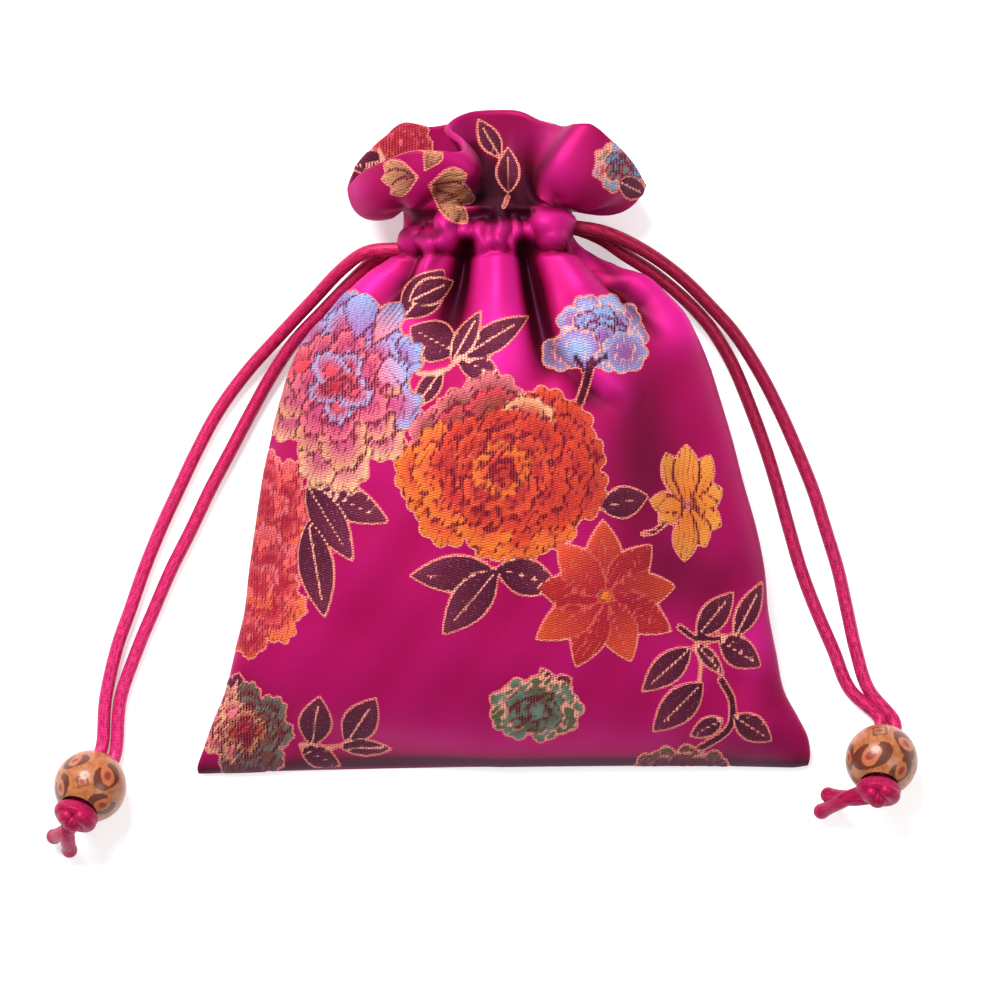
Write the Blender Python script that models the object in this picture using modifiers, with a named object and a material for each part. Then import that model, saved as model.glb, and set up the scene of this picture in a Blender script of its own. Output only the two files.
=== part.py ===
"""Kinchaku drawstring pouch in satin brocade, drawn shut and lying on its back.

Frame: metres, +Z up out of the front panel, +Y from the closed bottom to the mouth,
+X to the right seen from the front. The surface it lies on is z = 0.
"""
import math

import bmesh
import bpy
from mathutils import Matrix, Vector

MM = 0.001

# ---- driving dimensions (millimetres) ----
CORD_DIA = 2.4
TUNNEL_DIA = 3.4          # casing tunnel round each cord
BEAD_DIA = 13.0
BEAD_BORE = 6.6
BEAD_LENGTH = 11.2        # between the flats round the bore
BEAD_TILT = 42.0          # bore axis above the surface, knot end up (degrees)
KNOT_DIA = 6.6
KNOT_OFFSET = 7.9         # knot centre from bead centre, along the bore
FRAME_SHIFT = (0.1, -0.26, 0.0)   # puts the pouch's own box centre at the origin
CLOTH_WALL = 1.2          # ruffle: outer layer and turned-in hem together
PERIMETER = 72            # points round each section, half of them on the front
RUFFLE_STEPS = 8
FLOOR_STEP = 2            # ruffle step where the closed throat starts
NECK_Y = 42.0             # top of the casing
NECK_CENTRE_X = -2.9
NECK_CENTRE_Z = 10.0
LANE_LEFT_Y = 34.9        # the left cord's tunnel in the casing
LANE_RIGHT_Y = 38.8       # the right cord's tunnel
LANE_HALF_X = 12.0
LANE_TURN = 4.9           # radius of the cord's turn at the far side of the neck
EXIT_SPREAD = 2.1         # the two strands leave above and below the neck centre
STRAND_GAP = 1.35         # half the spacing of the strands in the bead's bore

# ---- pouch sections: y, left edge, right edge, seam height, front height,
#      back height, roundness exponent ----
SECTIONS = (
    (-58.3, -55.4, 55.1, 0.8, 1.6, 0.0, 2.2),
    (-57.2, -55.6, 55.4, 1.4, 4.0, 0.0, 2.2),
    (-55.3, -54.9, 55.4, 2.2, 7.0, 0.0, 2.2),
    (-52.5, -53.7, 54.8, 3.2, 10.2, 0.0, 2.2),
    (-49.0, -52.3, 53.0, 4.2, 13.2, 0.0, 2.2),
    (-44.1, -50.2, 50.4, 5.2, 16.2, 0.0, 2.2),
    (-37.5, -48.5, 49.0, 6.2, 19.0, 0.0, 2.2),
    (-30.0, -46.6, 47.5, 7.0, 21.0, 0.0, 2.2),
    (-22.5, -45.7, 46.8, 7.7, 22.6, 0.0, 2.2),
    (-15.0, -44.6, 45.3, 8.2, 23.6, 0.0, 2.2),
    (-7.0, -43.4, 43.0, 8.6, 24.2, 0.0, 2.2),
    (1.0, -41.8, 40.9, 9.0, 24.4, 0.0, 2.2),
    (8.0, -40.0, 38.8, 9.2, 24.2, 0.0, 2.2),
    (14.0, -38.1, 36.9, 9.4, 23.6, 0.0, 2.2),
    (19.0, -35.6, 34.8, 9.6, 22.8, 0.2, 2.2),
    (23.0, -31.9, 32.2, 9.8, 21.9, 0.5, 2.2),
    (26.5, -28.2, 29.0, 10.0, 20.9, 0.8, 2.3),
    (29.5, -24.6, 25.4, 10.0, 20.0, 1.1, 2.5),
    (32.0, -21.2, 20.2, 10.0, 19.2, 1.3, 2.8),
    (34.2, -19.0, 15.6, 10.0, 18.7, 1.4, 3.2),
    (36.8, -18.2, 12.6, 10.0, 18.5, 1.5, 3.2),
    (39.6, -18.0, 12.2, 10.0, 18.5, 1.5, 3.2),
    (42.0, -18.0, 12.2, 10.0, 18.5, 1.5, 3.2),
)

# ---- ruffle edge: front from left to right, then back from right to left ----
RIM_FRONT = (
    (-28.1, 45.9, 9.0), (-25.6, 48.4, 13.5), (-21.0, 50.2, 18.0), (-16.6, 51.3, 21.0),
    (-11.5, 51.3, 22.0), (-7.6, 51.9, 20.0), (-6.9, 54.6, 15.0), (-7.2, 57.4, 10.5),
    (-4.3, 59.2, 8.0), (-0.7, 59.9, 7.4), (2.9, 59.6, 7.8), (6.5, 57.8, 10.0),
    (10.4, 56.5, 14.5), (12.6, 56.7, 18.5), (15.8, 56.3, 19.5), (19.4, 53.6, 17.5),
    (22.7, 50.4, 14.0), (25.4, 46.3, 9.0),
)
RIM_BACK = (
    (25.4, 46.3, 9.0), (23.0, 48.6, 4.6), (19.1, 51.7, 2.6), (14.6, 55.6, 1.7),
    (9.5, 57.8, 1.5), (3.8, 59.2, 1.4), (-1.6, 59.6, 1.4), (-7.6, 58.5, 1.4),
    (-13.3, 57.4, 2.0), (-18.2, 58.0, 2.8), (-21.4, 55.6, 3.0), (-25.0, 52.2, 4.0),
    (-27.4, 48.6, 6.0), (-28.1, 45.9, 9.0),
)

# Where the ruffle bulges between the casing and its edge, point for point with RIM_FRONT.
MID_FRONT = (
    (-23.5, 43.0, 9.5), (-22.0, 43.8, 15.0), (-18.5, 44.5, 19.0), (-14.5, 45.0, 21.5),
    (-7.5, 45.6, 22.8), (-1.2, 47.0, 21.5), (0.4, 47.4, 15.5), (-1.6, 46.4, 8.0),
    (-1.4, 46.2, 5.4), (0.2, 46.0, 4.6), (1.6, 46.2, 5.4), (2.2, 46.4, 8.0),
    (3.2, 47.2, 17.0), (5.6, 47.2, 21.5), (11.5, 46.2, 21.5), (16.0, 45.0, 19.0),
    (19.0, 44.0, 15.0), (21.0, 43.0, 9.5),
)

# ---- strands from the bead up to the neck: x, y, z of the centreline ----
LEFT_OUTER = (
    (-72.2, -46.0, 1.35), (-70.2, -36.9, 1.35), (-67.7, -29.7, 1.35),
    (-65.2, -22.5, 1.35), (-62.3, -15.3, 1.35), (-59.0, -8.1, 1.35), (-55.6, -0.9, 1.35),
    (-51.7, 6.3, 1.3), (-46.4, 13.5, 1.8), (-40.3, 20.1, 3.2), (-34.2, 26.4, 5.4),
    (-29.2, 31.4, 8.2), (-24.6, 34.4, 10.8),
)
LEFT_INNER = (
    (-69.5, -46.0, 1.35), (-66.4, -36.9, 1.35), (-63.4, -29.7, 1.35),
    (-60.3, -22.5, 1.35), (-56.7, -15.3, 1.35), (-53.3, -8.1, 1.35), (-49.5, -0.9, 1.35),
    (-45.7, 6.3, 1.3), (-41.9, 13.0, 1.7), (-37.8, 18.9, 2.6), (-32.6, 24.3, 4.2),
    (-27.9, 29.0, 6.2), (-23.6, 32.8, 7.6),
)
RIGHT_OUTER = (
    (66.0, -44.1, 1.35), (63.7, -36.9, 1.35), (62.1, -29.7, 1.35),
    (60.5, -22.5, 1.35), (58.3, -15.3, 1.35), (56.0, -8.1, 1.35), (53.1, -0.9, 1.35),
    (49.9, 6.3, 1.4), (46.1, 13.5, 2.2), (41.8, 20.0, 3.8), (37.3, 24.9, 5.6),
    (32.4, 29.6, 7.6), (27.4, 33.3, 9.6), (22.2, 36.2, 11.2), (17.6, 38.0, 12.0),
)
RIGHT_INNER = (
    (62.6, -44.1, 1.35), (59.6, -36.9, 1.35), (56.5, -29.7, 1.35),
    (53.8, -22.5, 1.35), (51.7, -15.3, 1.35), (49.7, -8.1, 1.35), (47.5, -0.9, 1.35),
    (44.9, 6.3, 1.4), (41.6, 14.2, 2.0), (38.0, 20.3, 3.2), (34.7, 24.2, 4.4),
    (30.8, 27.8, 5.8), (26.4, 31.2, 7.0), (21.6, 34.2, 7.8), (17.4, 37.0, 8.0),
)
LEFT_BEAD = (-74.4, -61.4, 6.55)
LEFT_HEADING = (-0.40, -0.92)      # plan direction from the bead to its knot
RIGHT_BEAD = (67.9, -56.7, 6.55)
RIGHT_HEADING = (-0.20, -0.98)
LEFT_TAILS = ((-81.3, -70.7, 3.2), (-78.6, -73.2, 2.6))
RIGHT_TAILS = ((58.6, -63.2, 3.4), (57.4, -66.2, 2.8))


def clear_scene():
    for obj in list(bpy.data.objects):
        bpy.data.objects.remove(obj, do_unlink=True)
    for collection in list(bpy.data.collections):
        bpy.data.collections.remove(collection)


def make_collection(name):
    collection = bpy.data.collections.new(name)
    bpy.context.scene.collection.children.link(collection)
    return collection


def make_material(name, colour, roughness, metallic=0.0):
    material = bpy.data.materials.new(name)
    material.use_nodes = True
    shader = material.node_tree.nodes["Principled BSDF"]
    shader.inputs["Base Color"].default_value = (*colour, 1.0)
    shader.inputs["Roughness"].default_value = roughness
    shader.inputs["Metallic"].default_value = metallic
    return material


def smooth_point(points, position):
    """Point on the Catmull-Rom curve through the route points."""
    last = len(points) - 1
    index = min(int(position), last - 1)
    t = position - index
    p1, p2 = Vector(points[index]), Vector(points[index + 1])
    p0 = Vector(points[index - 1]) if index > 0 else p1 * 2 - p2
    p3 = Vector(points[index + 2]) if index + 2 <= last else p2 * 2 - p1
    return 0.5 * ((2 * p1) + (p2 - p0) * t + (2 * p0 - 5 * p1 + 4 * p2 - p3) * t * t
                  + (3 * p1 - p0 - 3 * p2 + p3) * t * t * t)


def even_positions(points, count):
    """Positions at even distances along the smooth curve, ends included."""
    step = (len(points) - 1) / 600.0
    fine = [smooth_point(points, step * i) for i in range(601)]
    run = [0.0]
    for a, b in zip(fine, fine[1:]):
        run.append(run[-1] + (b - a).length)
    result, at = [], 0
    for i in range(count):
        goal = run[-1] * i / (count - 1)
        while at < 599 and run[at + 1] < goal:
            at += 1
        span = max(run[at + 1] - run[at], 1e-9)
        result.append(step * (at + min(1.0, (goal - run[at]) / span)))
    return result


def even_points(points, count):
    return [smooth_point(points, position) for position in even_positions(points, count)]


# ---- pouch ----
def signed_power(value, power):
    return math.copysign(abs(value) ** power, value)


def bottom_line(side):
    """Shift of the bottom edge along y, across the width from -1 to 1."""
    return 0.75 * side - 0.5 * side * side


def fold_depth(y, angle):
    """Depth of the gathers, deepest just below the casing."""
    rise = max(0.0, min(1.0, (y - 8.0) / 22.0))
    fade = max(0.0, min(1.0, (34.0 - y) / 4.0))
    strength = rise * rise * (3 - 2 * rise) * (0.35 + 0.65 * fade)
    return strength * 1.3 * (0.5 - 0.5 * math.cos(10 * angle))


def section_ring(row):
    y, left, right, seam, front, back, power = row
    centre, half = 0.5 * (left + right), 0.5 * (right - left)
    low = max(0.0, min(1.0, (-30.0 - y) / 28.3))
    ring = []
    for i in range(PERIMETER):
        angle = 2 * math.pi * i / PERIMETER
        side = -signed_power(math.cos(angle), 2 / power)
        lift = abs(math.sin(angle)) ** (2 / power)
        depth = fold_depth(y, angle)
        if i <= PERIMETER // 2:
            z = seam + (front - seam - depth) * lift
        else:
            z = seam + (back + min(depth, 0.4 * (y > 20)) - seam) * min(1.0, 1.22 * lift)
        ring.append(Vector((centre + (half - 0.5 * depth) * side,
                            y + bottom_line(side) * low * low, max(z, 0.0))))
    return ring


def ruffle_edges(neck):
    """Edge of the ruffle and the middle it bulges through, point for point with the neck."""
    half = PERIMETER // 2
    positions = even_positions(RIM_FRONT, half + 1)[:-1]
    rim = [smooth_point(RIM_FRONT, position) for position in positions]
    middle = [smooth_point(MID_FRONT, position) for position in positions]
    for i, edge in enumerate(even_points(RIM_BACK, half + 1)[:-1]):
        start = neck[half + i]
        bulge = start.lerp(edge, 0.5)
        bulge.z = min(bulge.z, max(edge.z, 0.6 * start.z + 0.2))
        side = Vector(MID_FRONT[-1]).lerp(Vector(MID_FRONT[0]), i / half)
        middle.append(side.lerp(bulge, min(1.0, min(i, half - i) / 4.0)))
        rim.append(edge)
    return middle, rim


def ruffle_rings(neck):
    """Outer face of the ruffle from the casing to its edge."""
    middle, rim = ruffle_edges(neck)
    rings = []
    for step in range(1, RUFFLE_STEPS + 1):
        t = step / RUFFLE_STEPS
        rings.append([a * (1 - t) ** 2 + m * (2 * t * (1 - t)) + b * t ** 2
                      for a, m, b in zip(neck, middle, rim)])
    return rings


def inner_rings(neck, outer):
    """The ruffle's inner face, one wall thickness in from the outer one."""
    grid = [neck] + outer
    rings = []
    for step in range(len(grid) - 1, FLOOR_STEP - 1, -1):
        above, below = grid[min(step + 1, len(grid) - 1)], grid[step - 1]
        ring = []
        for i in range(PERIMETER):
            around = grid[step][(i + 1) % PERIMETER] - grid[step][i - 1]
            normal = around.cross(above[i] - below[i]).normalized()
            ring.append(grid[step][i] - normal * CLOTH_WALL)
        rings.append(ring)
    return rings


def build_pouch_mesh():
    rings = [section_ring(row) for row in SECTIONS]
    ruffle = ruffle_rings(rings[-1])
    rings += ruffle + inner_rings(rings[-1], ruffle)
    mesh = bpy.data.meshes.new("pouch_cloth")
    bm = bmesh.new()
    rows = [[bm.verts.new(point * MM) for point in ring] for ring in rings]
    for lower, upper in zip(rows, rows[1:]):
        for i in range(PERIMETER):
            j = (i + 1) % PERIMETER
            bm.faces.new((lower[i], upper[i], upper[j], lower[j]))
    half = PERIMETER // 2
    for row, flip in ((rows[0], False), (rows[-1], True)):
        for i in range(half):
            face = [row[i], row[i + 1], row[(PERIMETER - i - 1) % PERIMETER],
                    row[(PERIMETER - i) % PERIMETER]]
            face = [v for k, v in enumerate(face) if v not in face[:k]]
            bm.faces.new(reversed(face) if flip else face)
    bmesh.ops.recalc_face_normals(bm, faces=bm.faces)
    bm.to_mesh(mesh)
    bm.free()
    mesh.shade_smooth()
    return mesh


# ---- cords ----
def mirror_x(x):
    return 2 * NECK_CENTRE_X - x


def lane_route(y, right_side):
    """Round the neck inside the casing, from the upper exit back to the lower one."""
    turn_x = NECK_CENTRE_X + LANE_HALF_X - LANE_TURN
    quarter = LANE_TURN * math.sqrt(0.5)
    upper = [(-18.6, EXIT_SPREAD), (-15.6, 2.6), (-12.4, 4.0), (-8.6, LANE_TURN),
             (-4.0, LANE_TURN), (0.4, LANE_TURN), (turn_x, LANE_TURN - 0.05)]
    turn = [(turn_x + quarter, quarter), (turn_x + LANE_TURN, 0.0),
            (turn_x + quarter, -quarter)]
    rows = upper + turn + [(x, -z) for x, z in reversed(upper)]
    return [(mirror_x(x) if right_side else x, y, NECK_CENTRE_Z + z) for x, z in rows]


def bore_axis(heading):
    tilt = math.radians(BEAD_TILT)
    flat = Vector((heading[0], heading[1], 0.0)).normalized()
    return flat * math.cos(tilt) + Vector((0.0, 0.0, math.sin(tilt)))


def bore_points(centre, heading, side):
    """One strand from its knot down through the bead's bore to the surface."""
    axis = bore_axis(heading)
    across = Vector((-heading[1], heading[0], 0.0)).normalized() * STRAND_GAP * side
    flat = Vector((-heading[0], -heading[1], 0.0)).normalized()
    middle = Vector(centre)
    start = middle + axis * (KNOT_OFFSET - KNOT_DIA / 2 - 0.4) + across
    under = middle - axis * 5.0 + across
    clear = Vector((centre[0], centre[1], 0.0)) + flat * 7.2 + across
    clear.z = 1.4
    return [tuple(start), tuple(middle + axis * 0.6 + across), tuple(middle - axis * 2.4 + across),
            tuple(under + Vector((0.0, 0.0, -0.1))), tuple(clear)]


def cord_route(bead, heading, sides, outer, inner, lane_y, right_side):
    up = bore_points(bead, heading, sides[0]) + list(outer)
    down = bore_points(bead, heading, sides[1]) + list(inner)
    return up, lane_route(lane_y, right_side), list(reversed(down))


def cord_points(route):
    up, lane, down = route
    return up + lane + down


def sample_route(whole, first, last):
    """Points along the whole cord; closer together inside the casing."""
    points, position = [], 0.0
    end = len(whole) - 1
    step_out, step_in = 5.4, 2.6
    fine = [(k / 20.0, smooth_point(whole, k / 20.0)) for k in range(end * 20 + 1)]
    points.append(fine[0][1])
    run, before = 0.0, fine[0][1]
    for position, point in fine[1:]:
        run += (point - before).length
        before = point
        close = position < 5 or position > end - 5 or first - 2 < position < last + 2
        if run >= (step_in if close else step_out):
            points.append(point)
            run = 0.0
    if run < 1.0:
        points.pop()
    points.append(fine[-1][1])
    return points


def tube_curve(name, points, diameter):
    curve = bpy.data.curves.new(name, "CURVE")
    curve.dimensions = "3D"
    curve.bevel_depth = diameter / 2 * MM
    curve.bevel_resolution = 2
    curve.use_fill_caps = True
    curve.twist_mode = "MINIMUM"
    spline = curve.splines.new("POLY")
    spline.points.add(len(points) - 1)
    for slot, point in zip(spline.points, points):
        slot.co = (point.x * MM, point.y * MM, point.z * MM, 1.0)
    return bpy.data.objects.new(name, curve)


def curve_to_mesh(obj, collection):
    """Closed mesh copy of a bevelled curve; the curve itself goes."""
    collection.objects.link(obj)
    graph = bpy.context.evaluated_depsgraph_get()
    mesh = bpy.data.meshes.new_from_object(obj.evaluated_get(graph))
    bm = bmesh.new()
    bm.from_mesh(mesh)
    bmesh.ops.remove_doubles(bm, verts=bm.verts, dist=1e-6)
    bmesh.ops.recalc_face_normals(bm, faces=bm.faces)
    bm.to_mesh(mesh)
    bm.free()
    name, place = obj.name, obj.matrix_world.copy()
    bpy.data.objects.remove(obj, do_unlink=True)
    solid = bpy.data.objects.new(name, mesh)
    solid.matrix_world = place
    collection.objects.link(solid)
    return solid


def as_cutter(obj):
    obj.hide_render = True
    obj.display_type = "WIRE"
    return obj


def add_boolean(target, cutter, operation):
    modifier = target.modifiers.new(operation.lower() + "_" + cutter.name, "BOOLEAN")
    modifier.operation = operation
    modifier.solver = "EXACT"
    modifier.object = cutter


# ---- beads and knots ----
def build_bead(name, centre, heading, material, collection):
    """Turned ball with a straight bore and small flats round it."""
    radius, bore, half = BEAD_DIA / 2, BEAD_BORE / 2, BEAD_LENGTH / 2
    top = math.acos(half / radius)
    outline = [(bore, half - 0.3), (bore + 0.3, half)]
    steps = 12
    for i in range(steps + 1):
        angle = top + (math.pi - 2 * top) * i / steps
        outline.append((radius * math.sin(angle), radius * math.cos(angle)))
    outline += [(bore + 0.3, -half), (bore, 0.3 - half)]
    outline = [p for k, p in enumerate(outline)
               if k == 0 or math.dist(p, outline[k - 1]) > 0.05]
    mesh = bpy.data.meshes.new(name)
    count = len(outline)
    mesh.from_pydata([(x * MM, 0.0, z * MM) for x, z in outline],
                     [(i, (i + 1) % count) for i in range(count)], [])
    bead = bpy.data.objects.new(name, mesh)
    collection.objects.link(bead)
    screw = bead.modifiers.new("turn", "SCREW")
    screw.axis = "Z"
    screw.angle = 2 * math.pi
    screw.steps = screw.render_steps = 32
    screw.use_merge_vertices = True
    screw.merge_threshold = 0.00001
    screw.use_smooth_shade = True
    bead.location = Vector(centre) * MM
    bead.rotation_euler = Vector((0, 0, 1)).rotation_difference(bore_axis(heading)).to_euler()
    mesh.materials.append(material)
    return bead


def build_knot(name, centre, heading, tails, material, collection, cutters):
    """Overhand knot of both strands with its two cut tails."""
    middle = Vector(centre) + bore_axis(heading) * KNOT_OFFSET
    mesh = bpy.data.meshes.new(name)
    bm = bmesh.new()
    bmesh.ops.create_uvsphere(bm, u_segments=20, v_segments=12, radius=KNOT_DIA / 2 * MM)
    bm.to_mesh(mesh)
    bm.free()
    mesh.shade_smooth()
    mesh.materials.append(material)
    knot = bpy.data.objects.new(name, mesh)
    knot.location = middle * MM
    collection.objects.link(knot)
    for index, end in enumerate(tails):
        tip = Vector(end)
        sideways = Vector((-(tip - middle).y, (tip - middle).x, 0.0)).normalized()
        sideways *= 1.1 if index == 0 else -1.1
        bend = middle.lerp(tip, 0.5) + Vector((0.0, 0.0, 1.6)) - sideways * 0.4
        route = [tuple(middle - sideways), tuple(bend), tuple(tip)]
        tube = tube_curve(name + "_tail_" + str(index + 1), even_points(route, 6), CORD_DIA)
        add_boolean(knot, as_cutter(curve_to_mesh(tube, cutters)), "UNION")
    return knot


def main():
    clear_scene()
    parts = make_collection("drawstring_pouch")
    cutters = make_collection("cutters")
    brocade = make_material("magenta_brocade", (0.56, 0.012, 0.15), 0.38)
    left_satin = make_material("left_cord_satin", (0.60, 0.02, 0.17), 0.45)
    right_satin = make_material("right_cord_satin", (0.57, 0.02, 0.15), 0.45)
    left_wood = make_material("left_bead_wood", (0.70, 0.42, 0.20), 0.28)
    right_wood = make_material("right_bead_wood", (0.71, 0.42, 0.19), 0.28)
    left_end = make_material("left_knot_satin", (0.58, 0.02, 0.16), 0.45)
    right_end = make_material("right_knot_satin", (0.55, 0.02, 0.14), 0.45)

    pouch_mesh = build_pouch_mesh()
    pouch_mesh.materials.append(brocade)
    pouch = bpy.data.objects.new("pouch_cloth", pouch_mesh)
    parts.objects.link(pouch)

    cords = (
        ("left", LEFT_BEAD, LEFT_HEADING, (-1, 1), LEFT_OUTER, LEFT_INNER,
         LANE_LEFT_Y, False, left_satin),
        ("right", RIGHT_BEAD, RIGHT_HEADING, (1, -1), RIGHT_OUTER, RIGHT_INNER,
         LANE_RIGHT_Y, True, right_satin),
    )
    for name, bead, heading, sides, outer, inner, lane_y, right_side, satin in cords:
        route = cord_route(bead, heading, sides, outer, inner, lane_y, right_side)
        first = len(route[0])
        points = sample_route(cord_points(route), first, first + len(route[1]) - 1)
        cord = tube_curve(name + "_cord", points, CORD_DIA)
        cord.data.materials.append(satin)
        parts.objects.link(cord)
        inside = [p for p in points if abs(p.x - NECK_CENTRE_X) < 21.0 and p.y > 30.0]
        tunnel = tube_curve(name + "_casing_tunnel", inside, TUNNEL_DIA)
        add_boolean(pouch, as_cutter(curve_to_mesh(tunnel, cutters)), "DIFFERENCE")

    build_bead("left_bead", LEFT_BEAD, LEFT_HEADING, left_wood, parts)
    build_bead("right_bead", RIGHT_BEAD, RIGHT_HEADING, right_wood, parts)
    build_knot("left_knot", LEFT_BEAD, LEFT_HEADING, LEFT_TAILS, left_end, parts, cutters)
    build_knot("right_knot", RIGHT_BEAD, RIGHT_HEADING, RIGHT_TAILS, right_end, parts, cutters)
    for obj in bpy.data.objects:
        obj.location += Vector(FRAME_SHIFT) * MM


main()
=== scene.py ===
"""Looks of the brocade drawstring pouch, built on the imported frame. Metres; helpers work in mm."""

import math
import random

import bmesh
import bpy
import numpy as np
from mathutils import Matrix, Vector


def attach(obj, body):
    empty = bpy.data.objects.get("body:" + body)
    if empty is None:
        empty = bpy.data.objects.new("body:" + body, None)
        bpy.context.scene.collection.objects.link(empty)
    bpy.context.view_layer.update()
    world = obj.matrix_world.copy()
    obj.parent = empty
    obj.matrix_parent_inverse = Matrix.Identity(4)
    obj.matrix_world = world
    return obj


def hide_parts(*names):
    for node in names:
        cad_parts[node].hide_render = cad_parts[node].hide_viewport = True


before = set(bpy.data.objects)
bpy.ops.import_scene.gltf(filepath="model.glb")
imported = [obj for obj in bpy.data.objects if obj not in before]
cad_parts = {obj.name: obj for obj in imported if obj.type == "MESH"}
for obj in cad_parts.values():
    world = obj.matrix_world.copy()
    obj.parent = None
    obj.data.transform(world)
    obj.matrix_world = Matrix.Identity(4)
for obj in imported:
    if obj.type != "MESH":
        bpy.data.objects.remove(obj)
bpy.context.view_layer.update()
MM = 0.001

# ------------------------------------------------------------------ camera and light
VIEW_MM = 180.0
CAMERA_HEIGHT = 0.70


def make_camera():
    data = bpy.data.cameras.new("camera")
    data.sensor_width = 36.0
    data.lens = 36.0 * (CAMERA_HEIGHT - 0.006) / (VIEW_MM * MM)
    data.clip_start, data.clip_end = 0.01, 10.0
    camera = bpy.data.objects.new("camera", data)
    bpy.context.scene.collection.objects.link(camera)
    camera.location = (-0.62 * MM, -10.16 * MM, CAMERA_HEIGHT)
    bpy.context.scene.camera = camera


def make_light(name, place, aim, size, power, colour):
    data = bpy.data.lights.new(name, "AREA")
    data.shape, data.size, data.energy, data.color = "DISK", size, power, colour
    light = bpy.data.objects.new(name, data)
    bpy.context.scene.collection.objects.link(light)
    light.location = place
    direction = Vector(aim) - Vector(place)
    light.rotation_euler = direction.to_track_quat("-Z", "Y").to_euler()


def make_world(strength):
    world = bpy.data.worlds.new("studio")
    bpy.context.scene.world = world
    world.use_nodes = True
    background = world.node_tree.nodes["Background"]
    background.inputs["Color"].default_value = (1.0, 1.0, 1.0, 1.0)
    background.inputs["Strength"].default_value = strength


# ------------------------------------------------------------------ node helpers
class Value:
    """An output of a material's nodes; signs on it make the node that works out the result."""

    def __init__(self, nodes, socket):
        self.nodes, self.socket = nodes, socket

    def __add__(self, other):
        return self.nodes.math("ADD", self, other)

    def __mul__(self, other):
        return self.nodes.math("MULTIPLY", self, other)

    def __abs__(self):
        return self.nodes.math("ABSOLUTE", self)

    def wave(self, period):
        """A sine of this length, between 0 and 1."""
        return self.nodes.math("SINE", self * (math.tau / period)) * 0.5 + 0.5

    def ramp(self, low, high):
        """0 at low, 1 at high, smooth between; low may be the larger."""
        node = self.nodes.add("MapRange")
        node.interpolation_type = "SMOOTHSTEP"
        ends = (0.0, 1.0) if low < high else (1.0, 0.0)
        for socket, value in zip(node.inputs, (self, min(low, high), max(low, high), *ends)):
            self.nodes.put(socket, value)
        return Value(self.nodes, node.outputs["Result"])


class Nodes:
    """Short ways to write a material's nodes."""

    def __init__(self, name):
        self.material = bpy.data.materials.new(name)
        self.material.use_nodes = True
        self.tree = self.material.node_tree
        self.shader = self.tree.nodes["Principled BSDF"]

    def add(self, kind):
        return self.tree.nodes.new("ShaderNode" + kind)

    def put(self, socket, value):
        if isinstance(value, Value):
            self.tree.links.new(value.socket, socket)
        else:
            socket.default_value = value

    def math(self, operation, a, b=0.0):
        node = self.add("Math")
        node.operation = operation
        self.put(node.inputs[0], a)
        self.put(node.inputs[1], b)
        return Value(self, node.outputs[0])

    def mix(self, factor, a, b):
        node = self.add("Mix")
        node.data_type = "RGBA"
        self.put(node.inputs[0], factor)
        for socket, colour in zip(node.inputs[6:8], (a, b)):
            self.put(socket, (*colour, 1.0) if isinstance(colour, tuple) else colour)
        return Value(self, node.outputs[2])

    def attribute(self, name, output="Fac"):
        node = self.add("Attribute")
        node.attribute_name = name
        return Value(self, node.outputs[output])

    def split(self, vector):
        node = self.add("SeparateXYZ")
        self.put(node.inputs[0], vector)
        return [Value(self, output) for output in node.outputs]

    def noise(self, place, detail=2.0, roughness=0.5, scale=1.0):
        """Noise at a vector, or at a tuple of two or three coordinates."""
        if isinstance(place, tuple):
            join = self.add("CombineXYZ")
            for socket, value in zip(join.inputs, place):
                self.put(socket, value)
            place = Value(self, join.outputs[0])
        node = self.add("TexNoise")
        self.put(node.inputs["Vector"], place)
        for key, value in (("Scale", scale), ("Detail", detail), ("Roughness", roughness)):
            node.inputs[key].default_value = value
        return Value(self, node.outputs["Fac"])

    def bump(self, height, distance, strength):
        node = self.add("Bump")
        for key, value in (("Strength", strength), ("Distance", distance), ("Height", height)):
            self.put(node.inputs[key], value)
        self.set(Normal=Value(self, node.outputs["Normal"]))

    def set(self, **values):
        for key, value in values.items():
            self.put(self.shader.inputs[key.replace("_", " ")], value)


def srgb(r, g, b):
    return tuple(c / 255 / 12.92 if c < 11 else ((c / 255 + 0.055) / 1.055) ** 2.4 for c in (r, g, b))


# ------------------------------------------------------------------ shape of the cloth (mm)
SHIFT = np.array((0.1, -0.26, 0.0))
FRONT, BACK = 300, 120
COLUMNS = FRONT + BACK
BODY_ROWS, RUFFLE_ROWS, INNER_ROWS = 172, 36, 24
WALL = 1.2
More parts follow.
